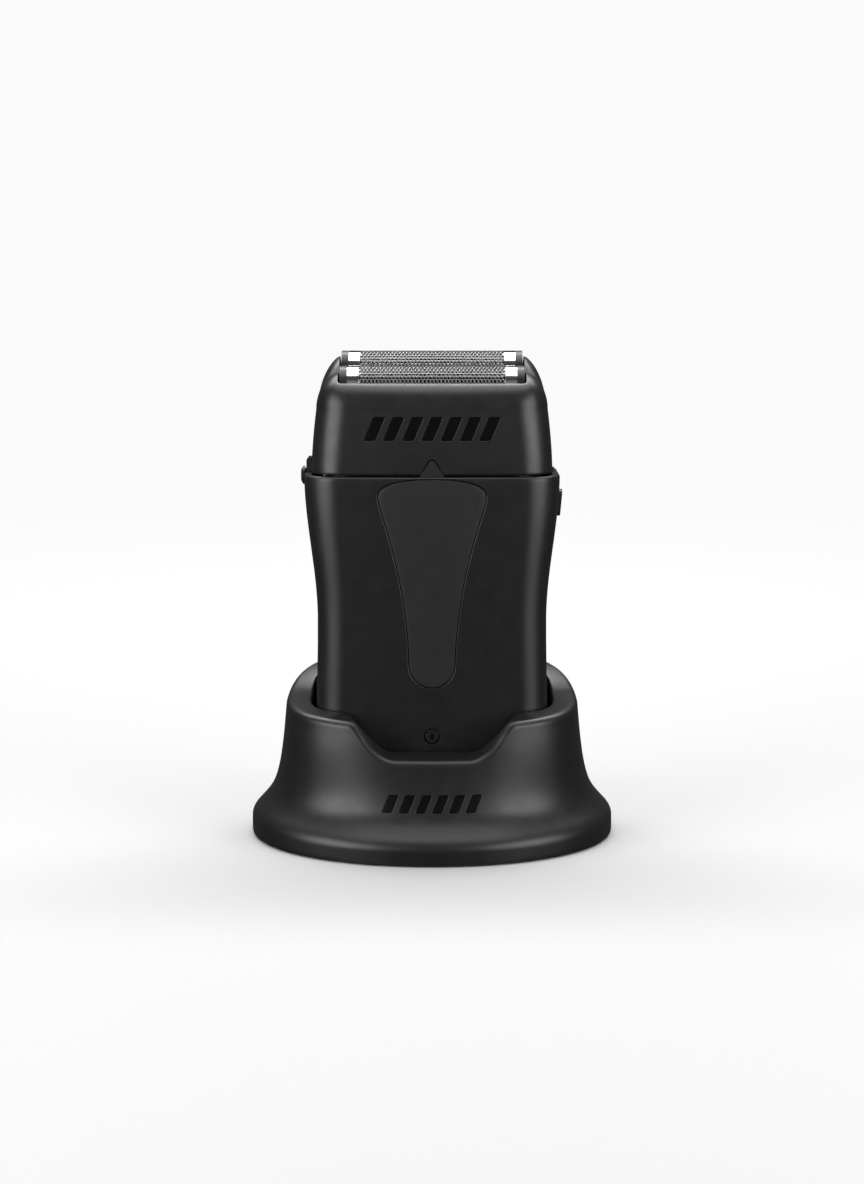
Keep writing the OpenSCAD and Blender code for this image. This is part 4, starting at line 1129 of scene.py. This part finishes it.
finishes = {
    plain_black: ("stand_base_plate", "pin_block", "charge_port_tongue", "base_cap", "chassis", "switch_body",
                  "foil_cassette", "power_slider", "release_button", "board_parts", "front_cutter_carrier",
                  "rear_cutter_carrier", "front_foil_holder", "rear_foil_holder"),
    tab_black: ("top_deck",),
    rubber: ("stand_feet", "deck_seal"),
    steel: ("stand_screws", "charge_port", "battery_tabs", "motor_can", "deck_screws", "motor_screws",
            "housing_screws", "motor_shaft", "armature_core", "drive_pins"),
    ballast_steel: ("stand_ballast",),
    blade_steel: ("front_cutter_blades", "rear_cutter_blades"),
    gold: ("charge_pins", "charge_contacts"),
    bronze: ("motor_bushes",),
    green_board: ("stand_board", "main_board"),
    copper_wire: ("armature_windings",),
    copper_bar: ("commutator",),
    ivory: ("motor_end_cap", "eccentric", "drive_bridge"),
    led_white: ("indicator_led",),
    blue_sleeve: ("battery_cell",),
    red_vinyl: ("battery_leads", "motor_leads"),
    magnet_grey: ("motor_magnets",),
}
# width of the rounding on a solid's sharp edges
softened = {"release_button": 0.18, "power_slider": 0.22, "foil_cassette": 0.25, "drive_bridge": 0.25,
            "top_deck": 0.12, "front_cutter_carrier": 0.2, "rear_cutter_carrier": 0.2,
            "stand_base_plate": 0.2, "base_cap": 0.2, "chassis": 0.2, "switch_body": 0.2,
            "stand_ballast": 0.4, "motor_can": 0.3, "pin_block": 0.15}
for material, names in finishes.items():
    for name in names:
        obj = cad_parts[name]
        obj.data.materials.clear()
        obj.data.materials.append(material)
        if name in softened:
            soften(obj, softened[name])

# ---------------------------------------------------------------- floor, lights and camera


def emitter(name, place, aim, size, power):
    """A soft light with a rectangular face, which the camera doesn't see."""
    data = bpy.data.lights.new(name, "AREA")
    data.shape = "RECTANGLE"
    data.size, data.size_y = size
    data.energy = power
    obj = bpy.data.objects.new(name, data)
    bpy.context.collection.objects.link(obj)
    obj.location = place
    obj.rotation_euler = (Vector(aim) - Vector(place)).to_track_quat("-Z", "Y").to_euler()
    obj.visible_camera = False


def backdrop():
    """A pale dish: a floor that sweeps up all round, and whose material fades to a plain glow far out."""
    reach, bend, top, turns = 2.2, 0.7, 2.4, 72
    path = [(0.3, 0.0), (0.9, 0.0), (reach - bend, 0.0)]
    path += [(reach - bend + bend * math.sin(a), bend - bend * math.cos(a))
             for a in np.linspace(0, math.pi / 2, 16)[1:]]
    path.append((reach, top))
    angles = full_turn(turns)
    points = [(0, 0, 0)] + [(r * math.cos(a), r * math.sin(a), z) for r, z in path for a in angles]
    faces = []
    for k in range(turns):
        n = (k + 1) % turns
        faces.append((0, 1 + k, 1 + n))
        faces += [(1 + i * turns + k, 1 + (i + 1) * turns + k, 1 + (i + 1) * turns + n, 1 + i * turns + n)
                  for i in range(len(path) - 1)]
    mesh = bpy.data.meshes.new("backdrop")
    mesh.from_pydata(points, [], faces)
    mesh.shade_smooth()
    obj = bpy.data.objects.new("backdrop", mesh)
    bpy.context.collection.objects.link(obj)
    m = Nodes("backdrop_white")
    distance = m.add("ShaderNodeVectorMath", operation="LENGTH")
    m.link(m.place, distance.inputs[0])
    near, far = 0.26, 0.75
    m.tint(m.spread(distance.outputs["Value"], 0, 1, near, far), (0.43, 0.43, 0.43), (0.0, 0.0, 0.0))
    m.link(m.spread(distance.outputs["Value"], 0, 0.95, near, far), m.shader.inputs["Emission Strength"])
    m.set(Emission_Color=(1, 1, 1, 1), Roughness=0.9, Specular_IOR_Level=0.1)
    m.material.cycles.emission_sampling = "NONE"
    mesh.materials.append(m.material)
    # it is seen and takes shadows, but doesn't light the shaver or hide the lights from it
    obj.visible_glossy = False
    obj.visible_diffuse = False
    obj.visible_shadow = False


backdrop()
middle = Vector((0, 0, 0.064))
emitter("left_box", (-0.48, -0.37, 0.19), middle, (0.46, 0.40), 3.8)
emitter("right_box", (0.48, -0.37, 0.19), middle, (0.46, 0.40), 3.3)
emitter("top_box", (0.0, 0.14, 0.95), (0, 0.14, 0), (1.1, 1.14), 13.0)
emitter("front_fill", (0.0, -1.3, 0.45), middle, (1.2, 0.9), 0.40)
emitter("back_wash", (0.0, 0.74, 1.30), (0, 1.2, 0.1), (2.6, 0.5), 44.0)

world = bpy.data.worlds.new("studio")
bpy.context.scene.world = world
world.use_nodes = True
sky = world.node_tree.nodes["Background"]
sky.inputs["Color"].default_value = (1, 1, 1, 1)
sky.inputs["Strength"].default_value = 0.06

camera_data = bpy.data.cameras.new("camera")
camera_data.sensor_width = 36
camera_data.lens = 69.84
camera_data.clip_start = 0.01
camera = bpy.data.objects.new("camera", camera_data)
bpy.context.collection.objects.link(camera)
camera.location = (0, -0.6, 0.153)
aim = Vector((0, 0, 0.06415))
camera.rotation_euler = (aim - camera.location).to_track_quat("-Z", "Y").to_euler()
bpy.context.scene.camera = camera
bpy.context.scene.view_settings.view_transform = "Standard"
